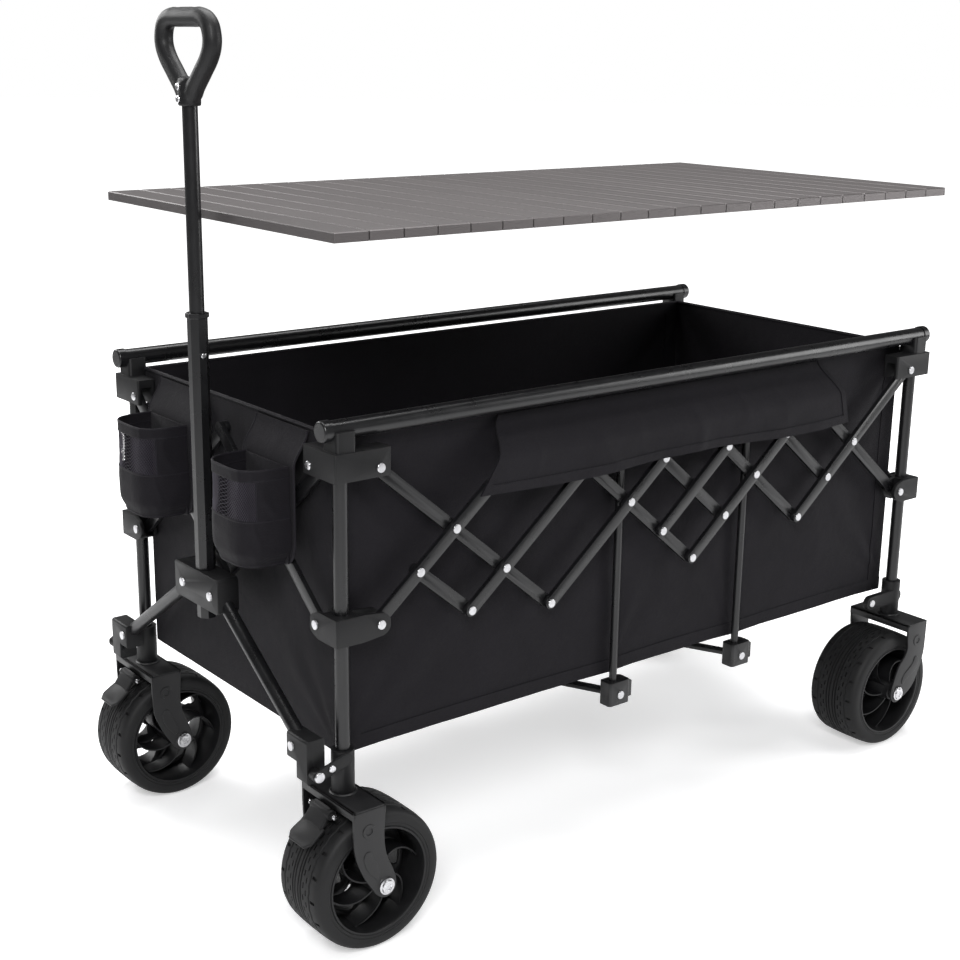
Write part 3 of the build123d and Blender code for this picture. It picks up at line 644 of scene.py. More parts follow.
class WAGON_OT_frame(bpy.types.Operator):
    """Finish the posts, bars, brackets and rails"""

    bl_idname = "wagon.frame"
    bl_label = "Frame"

    def execute(self, context):
        colours, _, _ = settings()
        steel, plastic, zinc = colours.steel, colours.bracket, colours.zinc
        bar_heads = ("Y", BAR_FACE_Y + 0.0006, 0)
        side_heads = ("Y", span("front_top_brackets", 1)[1] - HEAD_DEPTH, 0)
        finishes = {"plain": coated_steel("powder_coat", steel)}
        for kind, maker, name, colour, rivets in (
                ("bar", coated_steel, "powder_coat_bars", steel, [bar_heads]),
                ("bracket", moulded, "bracket_plastic", plastic, [side_heads]),
                ("front_mid", moulded, "front_mid_plastic", plastic,
                 ["any", side_heads, heads_on("front_mid_brackets", -1)]),
                ("rear_mid", moulded, "rear_mid_plastic", plastic,
                 ["any", side_heads, heads_on("rear_mid_brackets", 1)]),
                ("block", moulded, "yoke_block_plastic", plastic, [heads_on("yoke_blocks", -1)]),
                ("front_cross", coated_steel, "cross_bars_front", steel,
                 [heads_on("front_end_scissors", -1)]),
                ("rear_cross", coated_steel, "cross_bars_rear", steel,
                 [heads_on("rear_end_scissors", 1)]),
                ("sleeve", moulded, "front_sleeves", plastic,
                 [("X", POST_X - SLEEVE_REACH, -1), ("Y", LINK_FACE_Y, 0)]),
                ("rear_sleeve", moulded, "rear_sleeves", plastic,
                 [("X", REAR_POST_X - LUG_REACH, -1), ("Y", LUG_FACE_Y, 0)]),
                ("base", coated_steel, "brace_feet", steel, [("Y", BRACE_FOOT_Y, 0)]),
                ("hub", moulded, "yoke_centre", plastic, [heads_on("yoke_hub", -1)])):
            finishes[kind] = maker(name, colour, rivets=rivets, zinc=zinc)
        kinds = {"front_top_brackets": "bracket", "rear_top_brackets": "bracket",
                 "front_mid_brackets": "front_mid", "rear_mid_brackets": "rear_mid",
                 "front_end_scissors": "front_cross", "rear_end_scissors": "rear_cross",
                 "front_lower_sleeves": "sleeve",
                 "rear_lower_brackets": "rear_sleeve", "yoke_hub": "hub", "yoke_blocks": "block"}
        kinds.update({"lattice_bar_" + letter: "bar" for letter in "abcdefghijklm"})
        kinds.update({"mid_post_base_" + end: "base" for end in ("front", "rear")})
        for node, kind in kinds.items():
            width = 0.0008 if "lattice" in node or "cross" in kind else 0.0014
            settle(softened(node, width), finishes[kind], body_of_node(node), slot_of_node(node), node)
        for node in ("front_posts", "rear_posts", "mid_posts_front", "mid_posts_rear", "rails",
                     "yoke_struts", "handle_inner_tube"):
            dress(frame["nodes"][node], finishes["plain"])
        bright = bright_metal("button_zinc", zinc)
        dress(frame["nodes"]["handle_lock_button"], bright)
        self.octagonal_tube(finishes["plain"])
        self.extra_rivets(bright)
        return {"FINISHED"}

    def octagonal_tube(self, finish):
        """The outer pole: an eight-sided tube with soft corners and a flanged mouth."""
        low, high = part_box("handle_outer_tube")
        centre = (low + high) / 2
        tall = high.z - low.z
        pole, collar, mouth = 0.0144, 0.0166, 0.0108
        profile = [(0.0001, 0), (pole, 0), (pole, tall - 0.007), (collar, tall - 0.0065),
                   (collar, tall - 0.0005), (0.0160, tall), (mouth, tall)]
        tube = lathe("outer_pole", profile, 8, closed=False, smooth=10)
        modify(tube, "BEVEL", width=0.0016, segments=3, limit_method="ANGLE", angle_limit=math.radians(25))
        upright = Matrix.Rotation(math.pi / 2, 4, "X") @ Matrix.Rotation(math.pi / 8, 4, "Y")
        tube.data.transform(Matrix.Translation((centre.x, centre.y, low.z)) @ upright)
        select_only(tube)
        bpy.ops.object.shade_smooth_by_angle(angle=math.radians(20))
        settle(tube, finish, "handle_yoke", "handle_steel", "handle_outer_tube")

    def extra_rivets(self, finish):
        """Rivets that only dress the surface: on the top brackets' end faces and the sleeve links."""
        top_z = joint("bar_a_pivot")["pos_m"][2]
        pivot = Vector(joint("handle_tilt")["pos_m"])
        for sign in (-1, 1):
            inner_y = sign * (POST_Y - 0.040)
            for end, face, facing in (("front", 0, "-X"), ("rear", 1, "X")):
                place = (span(end + "_top_brackets", 0)[face], inner_y, top_z)
                rivet("top_rivet_" + end, place, facing, finish, end + "_frame")
            place = (pivot.x + 0.0205, sign * 0.306, pivot.z + 0.0065)
            rivet("link_rivet", place, "Y" if sign > 0 else "-Y", finish, "front_frame", 0.0052)


# ---- Wheels --------------------------------------------------------------------------------------
def metres(points):
    """(radius, y) points in millimetres, turned into metres."""
    return [(r / 1000, y / 1000) for r, y in points]


def tyre_profile():
    """(radius, y) round a tyre's section: from the crown's middle to one bead, and back on the other side."""
    ribs = [(102.8, 0), (102.8, 2.4), (100.2, 3.2), (100.2, 4.6), (102.8, 5.4), (102.8, 7.8), (100.2, 8.6),
            (100.2, 10.2), (102.7, 11.0), (102.7, 14.2), (102.6, 17.0), (102.6, 20.6), (102.5, 23.4)]
    shoulder = [(102.3, 27.0), (100.6, 28.0), (100.6, 29.6), (102.1, 30.6), (101.8, 35.0), (101.4, 39.4),
                (100.2, 43.4), (98.2, 46.6), (95.4, 48.6)]
    wall = [(91.0, 49.6), (86.0, 49.9), (84.4, 49.7), (83.8, 48.9), (81.0, 49.4), (79.2, 48.4), (78.4, 46.0)]
    points = metres(ribs + shoulder + wall)
    return points + [(r, -y) for r, y in reversed(points[1:])]


TREAD_STEPS = 72


def tread_tyre():
    """One tyre about the origin: middle ribs, slots beside them, and scalloped blocks at the shoulders."""
    tyre = lathe("tyre", tyre_profile(), TREAD_STEPS)
    edit(tyre)

    def ring(co):
        return int((math.atan2(co.z, co.x) / (2 * math.pi) + 1) * TREAD_STEPS + 0.25) % TREAD_STEPS

    def crown(co, low, high):
        return low < abs(co.y) * 1000 < high and math.hypot(co.x, co.z) > 0.099

    for low, high, phase in ((14.2, 17.0, 0), (20.6, 23.4, 1)):
        pick_faces(tyre, lambda co, normal: crown(co, low, high) and (ring(co) + phase) % 2 == 0)
        bpy.ops.mesh.inset(thickness=0.0004, use_individual=True)
        bpy.ops.mesh.extrude_region_shrink_fatten(TRANSFORM_OT_shrink_fatten={"value": -0.0028})
    pick_faces(tyre, lambda co, normal: crown(co, 30.6, 43.4) and ring(co) % 4 == (0 if co.y > 0 else 2))
    bpy.ops.mesh.inset(thickness=0.0022)
    bpy.ops.mesh.extrude_region_shrink_fatten(TRANSFORM_OT_shrink_fatten={"value": -0.0024})

    def scallop(co):
        """Wavy inner edge of each shoulder."""
        if 0.0265 < abs(co.y) < 0.0310:
            wave = 0.0016 * math.sin(math.atan2(co.z, co.x) * TREAD_STEPS / 4)
            return Vector((co.x, co.y + math.copysign(wave, co.y), co.z))
        return co

    reshape(tyre, scallop)
    return leave(tyre, 38)


def dished_rim():
    """One rim about the origin: a deep barrel, a dished disc with six windows, curved ribs and the hub."""
    windows, window_in, window_out = 6, 0.030, 0.065
    points = metres([(78.2, 0), (78.2, 46.0), (79.0, 47.8), (78.4, 49.2), (75.6, 49.0), (74.4, 46.6),
                     (73.4, 30), (72.8, 0)])
    barrel = lathe("rim", points + [(r, -y) for r, y in reversed(points[1:-1])], 96)
    disc_profile = [(r / 1000, 0.001 * (10 - (r - 16) * 0.16)) for r in (15, 22, 30, 38, 47, 56, 65, 73.2)]
    disc = lathe("disc", disc_profile, 72, closed=False)
    edit(disc)

    def window(co, normal):
        radius = math.hypot(co.x, co.z)
        swirl = 0.385 * (radius - 0.045) / 0.045
        turn = (math.atan2(co.z, co.x) + swirl) * windows / (2 * math.pi)
        across = abs(turn - round(turn))
        return window_in < radius < window_out and across < 0.25 + 1.5 * (radius - window_in)

    pick_faces(disc, window)
    bpy.ops.mesh.delete(type="FACE")
    leave(disc)
    modify(disc, "SOLIDIFY", thickness=0.006, offset=0)
    modify(disc, "SUBSURF", levels=1, render_levels=1)
    ribs = []
    for side in (-1, 1):
        rib = start("rib", "grid", x_subdivisions=14, y_subdivisions=5, size=2)

        def sweep(co):
            along, up = (co.x + 1) / 2, (co.y + 1) / 2
            radius = 0.0155 + along * 0.0585
            angle = math.radians(18) - math.radians(52) * along ** 1.7
            foot = 0.003
            crest = 0.044 - 0.012 * math.sin(along * math.pi * 0.55)
            across = side * (foot + (crest - foot) * up)
            return Vector((radius * math.cos(angle), across, radius * math.sin(angle)))

        reshape(rib, sweep)
        leave(rib)
        modify(rib, "SOLIDIFY", thickness=0.0022, offset=0)
        for index in range(windows):
            turn = Matrix.Rotation(2 * math.pi * (index + 0.5) / windows, 4, "Y")
            ribs.append(copy_of(rib, "rib_%d" % index, turn))
        remove(rib)
    hub = lathe("hub", metres([(6.4, -55), (13, -55), (15, -53.5), (15.5, -44), (17.5, -40), (17.5, 40),
                               (15.5, 44), (15, 53.5), (13, 55), (6.4, 55)]), 40)
    piece = join("rim", barrel, disc, hub, *ribs)
    select_only(piece)
    bpy.ops.object.shade_smooth_by_angle(angle=math.radians(38))
    return piece


class WAGON_OT_wheels(bpy.types.Operator):
    """Model the tyres and rims"""

    bl_idname = "wagon.wheels"
    bl_label = "Wheels"

    def execute(self, context):
        colours, _, _ = settings()
        rubber = tread_rubber("tread_rubber", colours.rubber)
        plastic = moulded("rim_plastic", colours.bracket, roughness=0.36, grain=420)
        tyre, rim = tread_tyre(), dished_rim()
        for place, centre in WHEELS.items():
            turn = Matrix.Translation(centre) @ Matrix.Rotation(math.radians(17) * len(place), 4, "Y")
            body = "wheel_" + place
            settle(copy_of(tyre, "tread_" + place, turn), rubber, body, "tyre", "tyre_" + place)
            settle(copy_of(rim, "dish_" + place, turn), plastic, body, "rim_plastic", "rim_" + place)
        remove(tyre)
        remove(rim)
        return {"FINISHED"}


# ---- Forks ---------------------------------------------------------------------------------------
PLATE_HALF_X = 0.026
ARM_FACE = 0.0645
ARM_SHEET = 0.004
PLATE_TOP = joint("caster_left_swivel")["pos_m"][2]


def fork_arm(edge, trail, axle):
    """One stamped arm in the XZ plane about the post axis, sweeping back to the axle at trail."""
    top = PLATE_TOP - 0.001
    outline = [(-PLATE_HALF_X, top, "VECTOR"), (-0.0258, axle + 0.090, "VECTOR"),
               (-0.0235, axle + 0.060, "AUTO"), (-0.013, axle + 0.030, "AUTO"),
               (0.002, axle + 0.004, "AUTO"), (trail - 0.010, axle - 0.0135, "AUTO"),
               (trail + 0.003, axle - 0.0168, "AUTO"), (trail + 0.0145, axle - 0.008, "AUTO"),
               (trail + 0.0165, axle + 0.004, "AUTO"), (trail + 0.0115, axle + 0.022, "AUTO"),
               (trail + 0.0015, axle + 0.046, "AUTO"), (0.0235, axle + 0.075, "AUTO"),
               (0.0245, axle + 0.098, "VECTOR"), (PLATE_HALF_X, top, "VECTOR")]
    arm = outline_plate("arm", outline, ARM_SHEET, edge, (0, ARM_FACE - ARM_SHEET / 2, 0))
    boss = lathe("boss", [(0.0066, 0), (0.0140, 0), (0.0130, 0.0014), (0.0066, 0.0014)], 32)
    boss.data.transform(Matrix.Translation((trail, ARM_FACE, axle)))
    pressed = [(-0.009, 0.056), (-0.001, 0.060), (0.005, 0.050), (trail - 0.010, 0.022),
               (trail - 0.013, 0.014), (trail - 0.021, 0.020), (-0.008, 0.040)]
    ridge = outline_plate("ridge", [(x, axle + z, "AUTO") for x, z in pressed], 0.0024, 0.0009,
                          (0, ARM_FACE, 0))
    eye = lathe("eye", [(0.0045, -0.001), (0.0105, -0.001), (0.0096, 0.0012), (0.0056, 0.0012)], 28)
    eye.data.transform(Matrix.Translation((-0.002, ARM_FACE, axle + 0.090)))
    return join("arm", arm, boss, ridge, eye)


def stamped_fork(name, trail, axle, edge, cup_top):
    """A fork about the post axis: plate with turned-down lips, two arms and the bearing cup."""
    lip_drop = 0.013
    plate = rounded_box("plate", (-PLATE_HALF_X, -ARM_FACE, PLATE_TOP - ARM_SHEET),
                        (PLATE_HALF_X, ARM_FACE, PLATE_TOP), edge)
    lips = [rounded_box("lip", (x, -ARM_FACE, PLATE_TOP - lip_drop),
                        (x + ARM_SHEET, ARM_FACE, PLATE_TOP), edge)
            for x in (-PLATE_HALF_X, PLATE_HALF_X - ARM_SHEET)]
    right = fork_arm(edge, abs(trail), axle)
    left = copy_of(right, "arm_left", Matrix.Scale(-1, 4, (0, 1, 0)))
    bore, brim = 0.0078, 0.0195
    cup = lathe("cup", [(bore, -0.001), (brim, -0.001), (brim, 0.0012), (0.0175, cup_top),
                        (bore, cup_top)], 48)
    cup.data.transform(Matrix.Translation((0, 0, PLATE_TOP)) @ Matrix.Rotation(math.pi / 2, 4, "X"))
    piece = join(name, plate, *lips, right, left, cup)
    if trail < 0:
        piece.data.transform(Matrix.Scale(-1, 4, (1, 0, 0)))
        piece.data.flip_normals()
    return piece


def bolt(name, centre):
    """Axle bolt through a fork: shank, washer-faced heads and their sockets."""
    points = metres([(6.0, 0), (6.0, 65.9), (11.6, 66.2), (12.0, 67.2), (9.8, 68.0), (9.0, 70.2),
                     (5.0, 71.0), (4.2, 69.2), (0.01, 69.0)])
    piece = lathe(name, [(r, -y) for r, y in reversed(points[1:])] + points, 36, closed=False)
    piece.data.transform(Matrix.Translation(centre))
    return piece


class WAGON_OT_forks(bpy.types.Operator):
    """Model the wheel forks, axle bolts and brake pedals"""

    bl_idname = "wagon.forks"
    bl_label = "Forks"

    def execute(self, context):
        colours, sizes, _ = settings()
        coat = coated_steel("fork_coat", colours.steel, roughness=0.42)
        zinc = bright_metal("bolt_zinc", colours.zinc)
        pedal_finish = moulded("pedal_plastic", colours.bracket, roughness=0.5)
        rear_forks, rear_bolts = [], []
        for side in SIDES:
            front, rear = WHEELS["front_" + side], WHEELS["rear_" + side]
            fork = stamped_fork("fork_front_" + side, front.x - POST_X, front.z, sizes.edge, 0.0026)
            fork.data.transform(Matrix.Translation((POST_X, front.y, 0)))
            settle(fork, coat, "caster_" + side, "fork_steel", "front_fork_" + side)
            settle(bolt("bolt_front_" + side, front), zinc, "caster_" + side, "bolt_steel")
            back = stamped_fork("fork_rear_" + side, rear.x - REAR_POST_X, rear.z, sizes.edge, 0.0028)
            back.data.transform(Matrix.Translation((REAR_POST_X, rear.y, 0)))
            rear_forks.append(back)
            rear_bolts.append(bolt("bolt_rear_" + side, rear))
            self.pedal(side, pedal_finish)
        settle(join("rear_forks_pressed", *rear_forks), coat, "rear_frame", "fork_steel", "rear_forks")
        settle(join("rear_bolts", *rear_bolts), zinc, "rear_frame", "bolt_steel", "rear_axles")
        return {"FINISHED"}

    def pedal(self, side, finish):
        """Foot pedal: a curved tread plate with side cheeks on its hinge barrel."""
        pivot = Vector(joint("brake_%s_press" % side)["pos_m"])
        barrel = lathe("barrel", [(0.0001, -0.0225), (0.0065, -0.0225), (0.0072, -0.0215), (0.0072, 0.0215),
                                  (0.0065, 0.0225), (0.0001, 0.0225)], 32)
        barrel.data.transform(Matrix.Translation(pivot))
        plates = []
        for name, first, last, half_first, half_last, dish in (
                ("flap", (0.004, 0.007), (-0.016, -0.0215), 0.0185, 0.0215, 0.0016),
                ("foot", (-0.0125, -0.0165), (-0.0425, -0.0365), 0.0245, 0.0262, 0.0034)):
            plate = start(name, "grid", x_subdivisions=12, y_subdivisions=12, size=2)

            def bend(co):
                along, across = (co.x + 1) / 2, co.y
                x = first[0] + (last[0] - first[0]) * along
                z = first[1] + (last[1] - first[1]) * along
                half = half_first + (half_last - half_first) * smoothstep(along * 1.6)
                half *= 1 - 0.28 * smoothstep((along - 0.7) / 0.3) * (name == "foot")
                bow = dish * (1 - across * across) * math.sin(math.pi * min(1, along + 0.15))
                return Vector((pivot.x + x - 0.6 * bow, pivot.y + across * half, pivot.z + z + 0.8 * bow))

            reshape(plate, bend)
            leave(plate)
            modify(plate, "SOLIDIFY", thickness=0.0048, offset=-1 if name == "flap" else 0)
            modify(plate, "BEVEL", width=0.0014, segments=2, limit_method="ANGLE",
                   angle_limit=math.radians(50))
            plates.append(plate)
        pin_ends = lathe("pin", [(0.0001, -0.0290), (0.0028, -0.0290), (0.0034, -0.0280), (0.0034, 0.0280),
                                 (0.0028, 0.0290), (0.0001, 0.0290)], 20)
        pin_ends.data.transform(Matrix.Translation(pivot))
        piece = join("pedal_" + side, barrel, *plates, pin_ends)
        select_only(piece)
        bpy.ops.object.shade_smooth_by_angle(angle=math.radians(40))
        settle(piece, finish, "pedal_" + side, "pedal_plastic", "brake_pedal_" + side)
        zinc = bright_metal("pedal_pin_" + side, settings()[0].zinc)
        for sign in (-1, 1):
            place = (pivot.x, pivot.y + sign * 0.0286, pivot.z)
            rivet("pedal_rivet", place, "Y" if sign > 0 else "-Y", zinc, "pedal_" + side, 0.0036)


# ---- Grip ----------------------------------------------------------------------------------------
class WAGON_OT_grip(bpy.types.Operator):
    """Model the D-shaped hand grip"""

    bl_idname = "wagon.grip"
    bl_label = "Grip"

    def execute(self, context):
        colours, _, _ = settings()
        low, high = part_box("handle_grip")
        x = sum(span("handle_inner_tube", 0)) / 2
        top, radius = high.z, 0.0128
        half_loop = [(0, 0.0128), (0.022, 0.0129), (0.044, 0.0138), (0.0585, 0.0205), (0.0655, 0.0345),
                     (0.0655, 0.047), (0.0585, 0.0610), (0.0380, 0.0820), (0.0185, 0.1005), (0.0065, 0.1130)]
        loop = [(x, y, top - z) for y, z in half_loop]
        loop += [(x, -y, top - z) for y, z in reversed(half_loop[1:])]
        ring = strand("ring", loop, radius, closed=True, kind="BEZIER", resolution=4)
        neck_tall, neck_bore = 0.032, 0.0107
        neck = lathe("neck", [(neck_bore, 0.0), (0.0148, 0.0), (0.0154, 0.001), (0.0154, 0.014),
                              (0.0146, neck_tall), (neck_bore, neck_tall)], 40)
        neck.data.transform(Matrix.Translation((x, 0, low.z)) @ Matrix.Rotation(math.pi / 2, 4, "X"))
        web = rounded_box("web", (x - 0.0115, -0.013, low.z + 0.012), (x + 0.0115, 0.013, top - 0.088), 0.004)
        piece = join("grip_moulding", ring, neck, web)
        modify(piece, "REMESH", mode="VOXEL", voxel_size=0.0015)
        modify(piece, "SMOOTH", factor=0.6, iterations=6)
        select_only(piece)
        bpy.ops.object.shade_smooth_by_angle(angle=math.radians(60))
        zinc = bright_metal("grip_rivets", colours.zinc)
        for height in (0.009, 0.025):
            rivet("grip_rivet", (x - 0.0150, 0.003, low.z + height), "-X", zinc, "handle_slider", 0.0048)
        finish = moulded("grip_plastic", colours.bracket, roughness=0.45, grain=500)
        settle(piece, finish, "handle_slider", "grip_plastic", "handle_grip")
        return {"FINISHED"}


# ---- Fabric --------------------------------------------------------------------------------------
def cloth_sheet(name, columns, rows, surface, thickness, bands=()):
    """A sheet from surface(u, v), u and v from 0 to 1, made thick, and raised where a band's test says."""
    piece = start(name, "grid", x_subdivisions=columns, y_subdivisions=rows, size=2)
    flat = {}
    mesh = bmesh.from_edit_mesh(piece.data)
    for vertex in mesh.verts:
        flat[vertex.index] = ((vertex.co.x + 1) / 2, (vertex.co.y + 1) / 2)
    marked = [[] for _ in bands]
    for face in mesh.faces:
        centre = face.calc_center_median()
        u, v = (centre.x + 1) / 2, (centre.y + 1) / 2
        for chosen, test in zip(marked, bands):
            if test(u, v):
                chosen.append(face.index)
    for vertex in mesh.verts:
        vertex.co = surface(*flat[vertex.index])
    bmesh.update_edit_mesh(piece.data)
    bpy.ops.object.mode_set(mode="OBJECT")
    modify(piece, "SOLIDIFY", thickness=thickness, offset=0)
    if bands:
        edit(piece)
        for chosen in marked:
            bpy.ops.mesh.select_mode(type="FACE")
            bpy.ops.mesh.select_all(action="DESELECT")
            mesh = bmesh.from_edit_mesh(piece.data)
            mesh.faces.ensure_lookup_table()
            for index in chosen:
                mesh.faces[index].select_set(True)
            bmesh.update_edit_mesh(piece.data)
            bpy.ops.mesh.extrude_region_shrink_fatten(TRANSFORM_OT_shrink_fatten={"value": 0.0013})
        bpy.ops.object.mode_set(mode="OBJECT")
    select_only(piece)
    bpy.ops.object.shade_smooth_by_angle(angle=math.radians(55))
    return piece


def supports(x):
    """How far along its bay x is, from one upright to the next, 0 to 1."""
    uprights = [FRONT_X, *MID_POSTS, REAR_X]
    for left, right in zip(uprights, uprights[1:]):
        if x <= right:
            return min(max((x - left) / (right - left), 0), 1)
    return 0


def creases(place, scale, seed):
    """Soft folds: ridged noise, 0 to 1."""
    value = noise.noise(Vector((place[0] * scale, place[1] * scale, seed)))
    fine = noise.noise(Vector((place[0] * scale * 2.3, place[1] * scale * 2.3, seed + 7.0)))
    return 1 - min(1.0, abs(value * 1.4 + fine * 0.6) * 2)


def corner_pulls(x, z, corners):
    """Folds that run out from the places where the cloth is held."""
    total = 0.0
    for cx, cz, angle, spread, reach in corners:
        dx, dz = x - cx, z - cz
        distance = math.hypot(dx, dz)
        if distance < 1e-4:
            continue
        away = math.atan2(dz, dx) - angle
        fade = math.exp(-((away / spread) ** 2)) * math.cos(away * 14) * math.exp(-distance / reach)
        total += fade * min(1, distance / 0.03)
    return total


def side_surface(sign):
    """Side panel: it bellies out between the uprights and pulls in folds at its corners."""
    low_z, high_z = PANEL_LOW.z, PANEL_HIGH.z
    corners = [(FRONT_X, high_z - 0.02, -0.7, 0.45, 0.16), (FRONT_X, low_z, 0.7, 0.4, 0.12),
               (REAR_X, high_z - 0.02, -2.4, 0.45, 0.16), (REAR_X, low_z + 0.02, 2.3, 0.5, 0.16),
               (MID_POSTS[0], low_z, 1.2, 0.4, 0.10), (MID_POSTS[1], low_z, 1.9, 0.4, 0.10)]

    def surface(u, v):
        x = FRONT_X + 0.003 + u * (REAR_X - FRONT_X - 0.006)
        z = low_z + v * (high_z - low_z)
        bay = math.sin(math.pi * supports(x))
        belly = math.sin(math.pi * min(1, v * 1.15))
        out = -0.0035 + 0.0035 * bay * belly
        out += 0.0034 * corner_pulls(x, z, corners) * min(1, 4 * v) * min(1, 6 * (1 - v))
        out += 0.0022 * (creases((x, z), 3.2, sign * 3.1) - 0.5) * belly
        edge_lift = 0.004 * math.sin(math.pi * supports(x)) * (1 - v) ** 6
        return Vector((x, sign * (SIDE_Y - 0.0012 + out), z + edge_lift))

    return surface


def end_surface(x, outward, seed):
    """End panel at x, a little hollow in its middle."""
    low_z, high_z = PANEL_LOW.z, PANEL_HIGH.z
    half = SIDE_Y - 0.004
    corners = [(-half, high_z, -0.8, 0.4, 0.12), (half, high_z, -2.3, 0.4, 0.12),
               (-half, low_z, 0.7, 0.4, 0.12), (half, low_z, 2.4, 0.4, 0.12)]

    def surface(u, v):
        y = -half + 2 * half * u
        z = low_z + v * (high_z - low_z)
        belly = math.sin(math.pi * v) * math.sin(math.pi * u)
        out = -0.0065 - 0.004 * belly
        out += 0.003 * corner_pulls(y, z, corners) * min(1, 6 * v) * min(1, 8 * (1 - v))
        out += 0.002 * (creases((y, z), 4, seed) - 0.5) * belly
        return Vector((x + outward * (out + 0.005), y, z))

    return surface


FLAP_TOP_Z = PANEL_HIGH.z - 0.006


def flap_surface(sign, drop):
    """Side flap: from the top hem it runs out over the bar tops and hangs past them, its ends slanted."""
    top = (FRONT_X + 0.262, REAR_X - 0.212)
    bottom = (FRONT_X + 0.200, REAR_X - 0.186)
    in_y, out_y = SIDE_Y + 0.0015, BAR_FACE_Y + 0.0125

    def surface(u, v):
        down = 1 - v
        left = top[0] + (bottom[0] - top[0]) * down
        right = top[1] + (bottom[1] - top[1]) * down
        x = left + u * (right - left)
        z = FLAP_TOP_Z - drop * down
        ends = min(1, min(u, 1 - u) * 9)
        lean = smoothstep(down * 1.9) * (out_y - in_y)
        ripple = 0.0026 * math.sin(x * 21 + 2.2 * math.sin(x * 7.3)) * down ** 1.5
        ripple += 0.0020 * (creases((x, z), 9, 5.5 + sign) - 0.3)
        droop = 0.0035 * math.sin(x * 13 + 1.0) * down ** 3
        out = in_y + lean + max(-0.001, ripple) * ends * smoothstep(down * 2)
        return Vector((x, sign * out, z + droop))

    return surface


def squash_with_fold(piece):
    """Gives the piece a mesh of its own."""
    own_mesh(piece)


class WAGON_OT_basket(bpy.types.Operator):
    """Sew the basket: side and end panels, floor, top binding and flaps"""

    bl_idname = "wagon.basket"
    bl_label = "Basket"

    def execute(self, context):
        colours, sizes, _ = settings()
        side_cloth = woven("side_cloth", colours.fabric, "XZ")
        end_cloth = woven("end_cloth", colours.fabric, "YZ")
        floor_cloth = woven("floor_cloth", colours.fabric, "XY")
        tape = woven("binding_tape", shade(colours.fabric, 1.15), "XZ", pitch=0.0026, roughness=0.6)
        height = PANEL_HIGH.z - PANEL_LOW.z
        length = REAR_X - FRONT_X
        hem = sizes.hem / height
        bands = (lambda u, v: v < hem or v > 1 - hem,)
        end_hem = 0.034 / length
        framed = (lambda u, v: v < hem or v > 1 - hem or u < end_hem or u > 1 - end_hem,)
        flap_hem = (lambda u, v: v < 0.13 or u < 0.016 or u > 0.984)
        for side, sign in SIDES.items():
            panel = cloth_sheet("side_panel_" + side, 220, 64, side_surface(sign), sizes.cloth, framed)
            settle(panel, side_cloth, "front_frame", "fabric", "basket_side_" + side)
            flap = cloth_sheet("side_flap_" + side, 150, 22, flap_surface(sign, sizes.flap_drop), sizes.cloth,
                               (flap_hem,))
            settle(flap, side_cloth, "front_frame", "fabric")
            squash_with_fold(panel)
            squash_with_fold(flap)
        for end, x, outward, body in ENDS:
            surface = end_surface(x, outward, 2.5 * outward)
            panel = cloth_sheet("end_panel_" + end, 100, 64, surface, sizes.cloth, bands)
            settle(panel, end_cloth, body, "fabric", "basket_" + end)
        self.floor(floor_cloth)
        self.top_tapes(tape)
        return {"FINISHED"}

    def floor(self, cloth):
        """Padded floor with sewn cross channels."""
        low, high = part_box("basket_floor")
        channels = 6

        def surface(u, v):
            x = low.x + u * (high.x - low.x)
            y = low.y + v * (high.y - low.y)
            cell = abs(math.sin(math.pi * u * channels))
            edge = min(1, min(v, 1 - v) * 14) * min(1, min(u, 1 - u) * 30)
            puff = 0.004 * cell ** 0.35 * edge
            return Vector((x, y, high.z - 0.003 + puff + 0.0006 * creases((x, y), 6, 1.7)))

        pad = cloth_sheet("floor_pad", 200, 80, surface, 0.004)
        settle(pad, cloth, "front_frame", "fabric", "basket_floor")
        squash_with_fold(pad)

    def top_tapes(self, tape):
        """Binding along the top edge of each panel."""
        for side, sign in SIDES.items():
            shape = side_surface(sign)
            points = [shape(i / 60, 1) + Vector((0, 0, -0.001)) for i in range(61)]
            binding = strand("top_binding_" + side, points, 0.0030)
            settle(binding, tape, "front_frame", "fabric")
            squash_with_fold(binding)
        for end, x, outward, body in ENDS:
            shape = end_surface(x, outward, 2.5 * outward)
            points = [shape(i / 40, 1) + Vector((0, 0, -0.001)) for i in range(41)]
            settle(strand("top_binding_" + end, points, 0.0030), tape, body, "fabric")


# ---- Bottle pockets ------------------------------------------------------------------------------
NET_LOW, NET_HIGH = 0.49, 0.90  # share of the pocket's height
NET_START, NET_END = 0.17, 0.83  # share of the way round


def pocket_outline(low, high, share):
    """A point round the pocket from its back left edge, round the front, to its back right edge."""
    back, front = high.x - 0.001, low.x
    half = (high.y - low.y) / 2
    middle = (high.y + low.y) / 2
    turn = (share - 0.5) * 2
    angle = turn * math.pi / 2
    power = 0.55
    y = math.copysign(abs(math.sin(angle)) ** power, turn) * half
    depth = max(0.0, math.cos(angle)) ** power
    return Vector((back + (front - back) * depth, middle + y, 0))


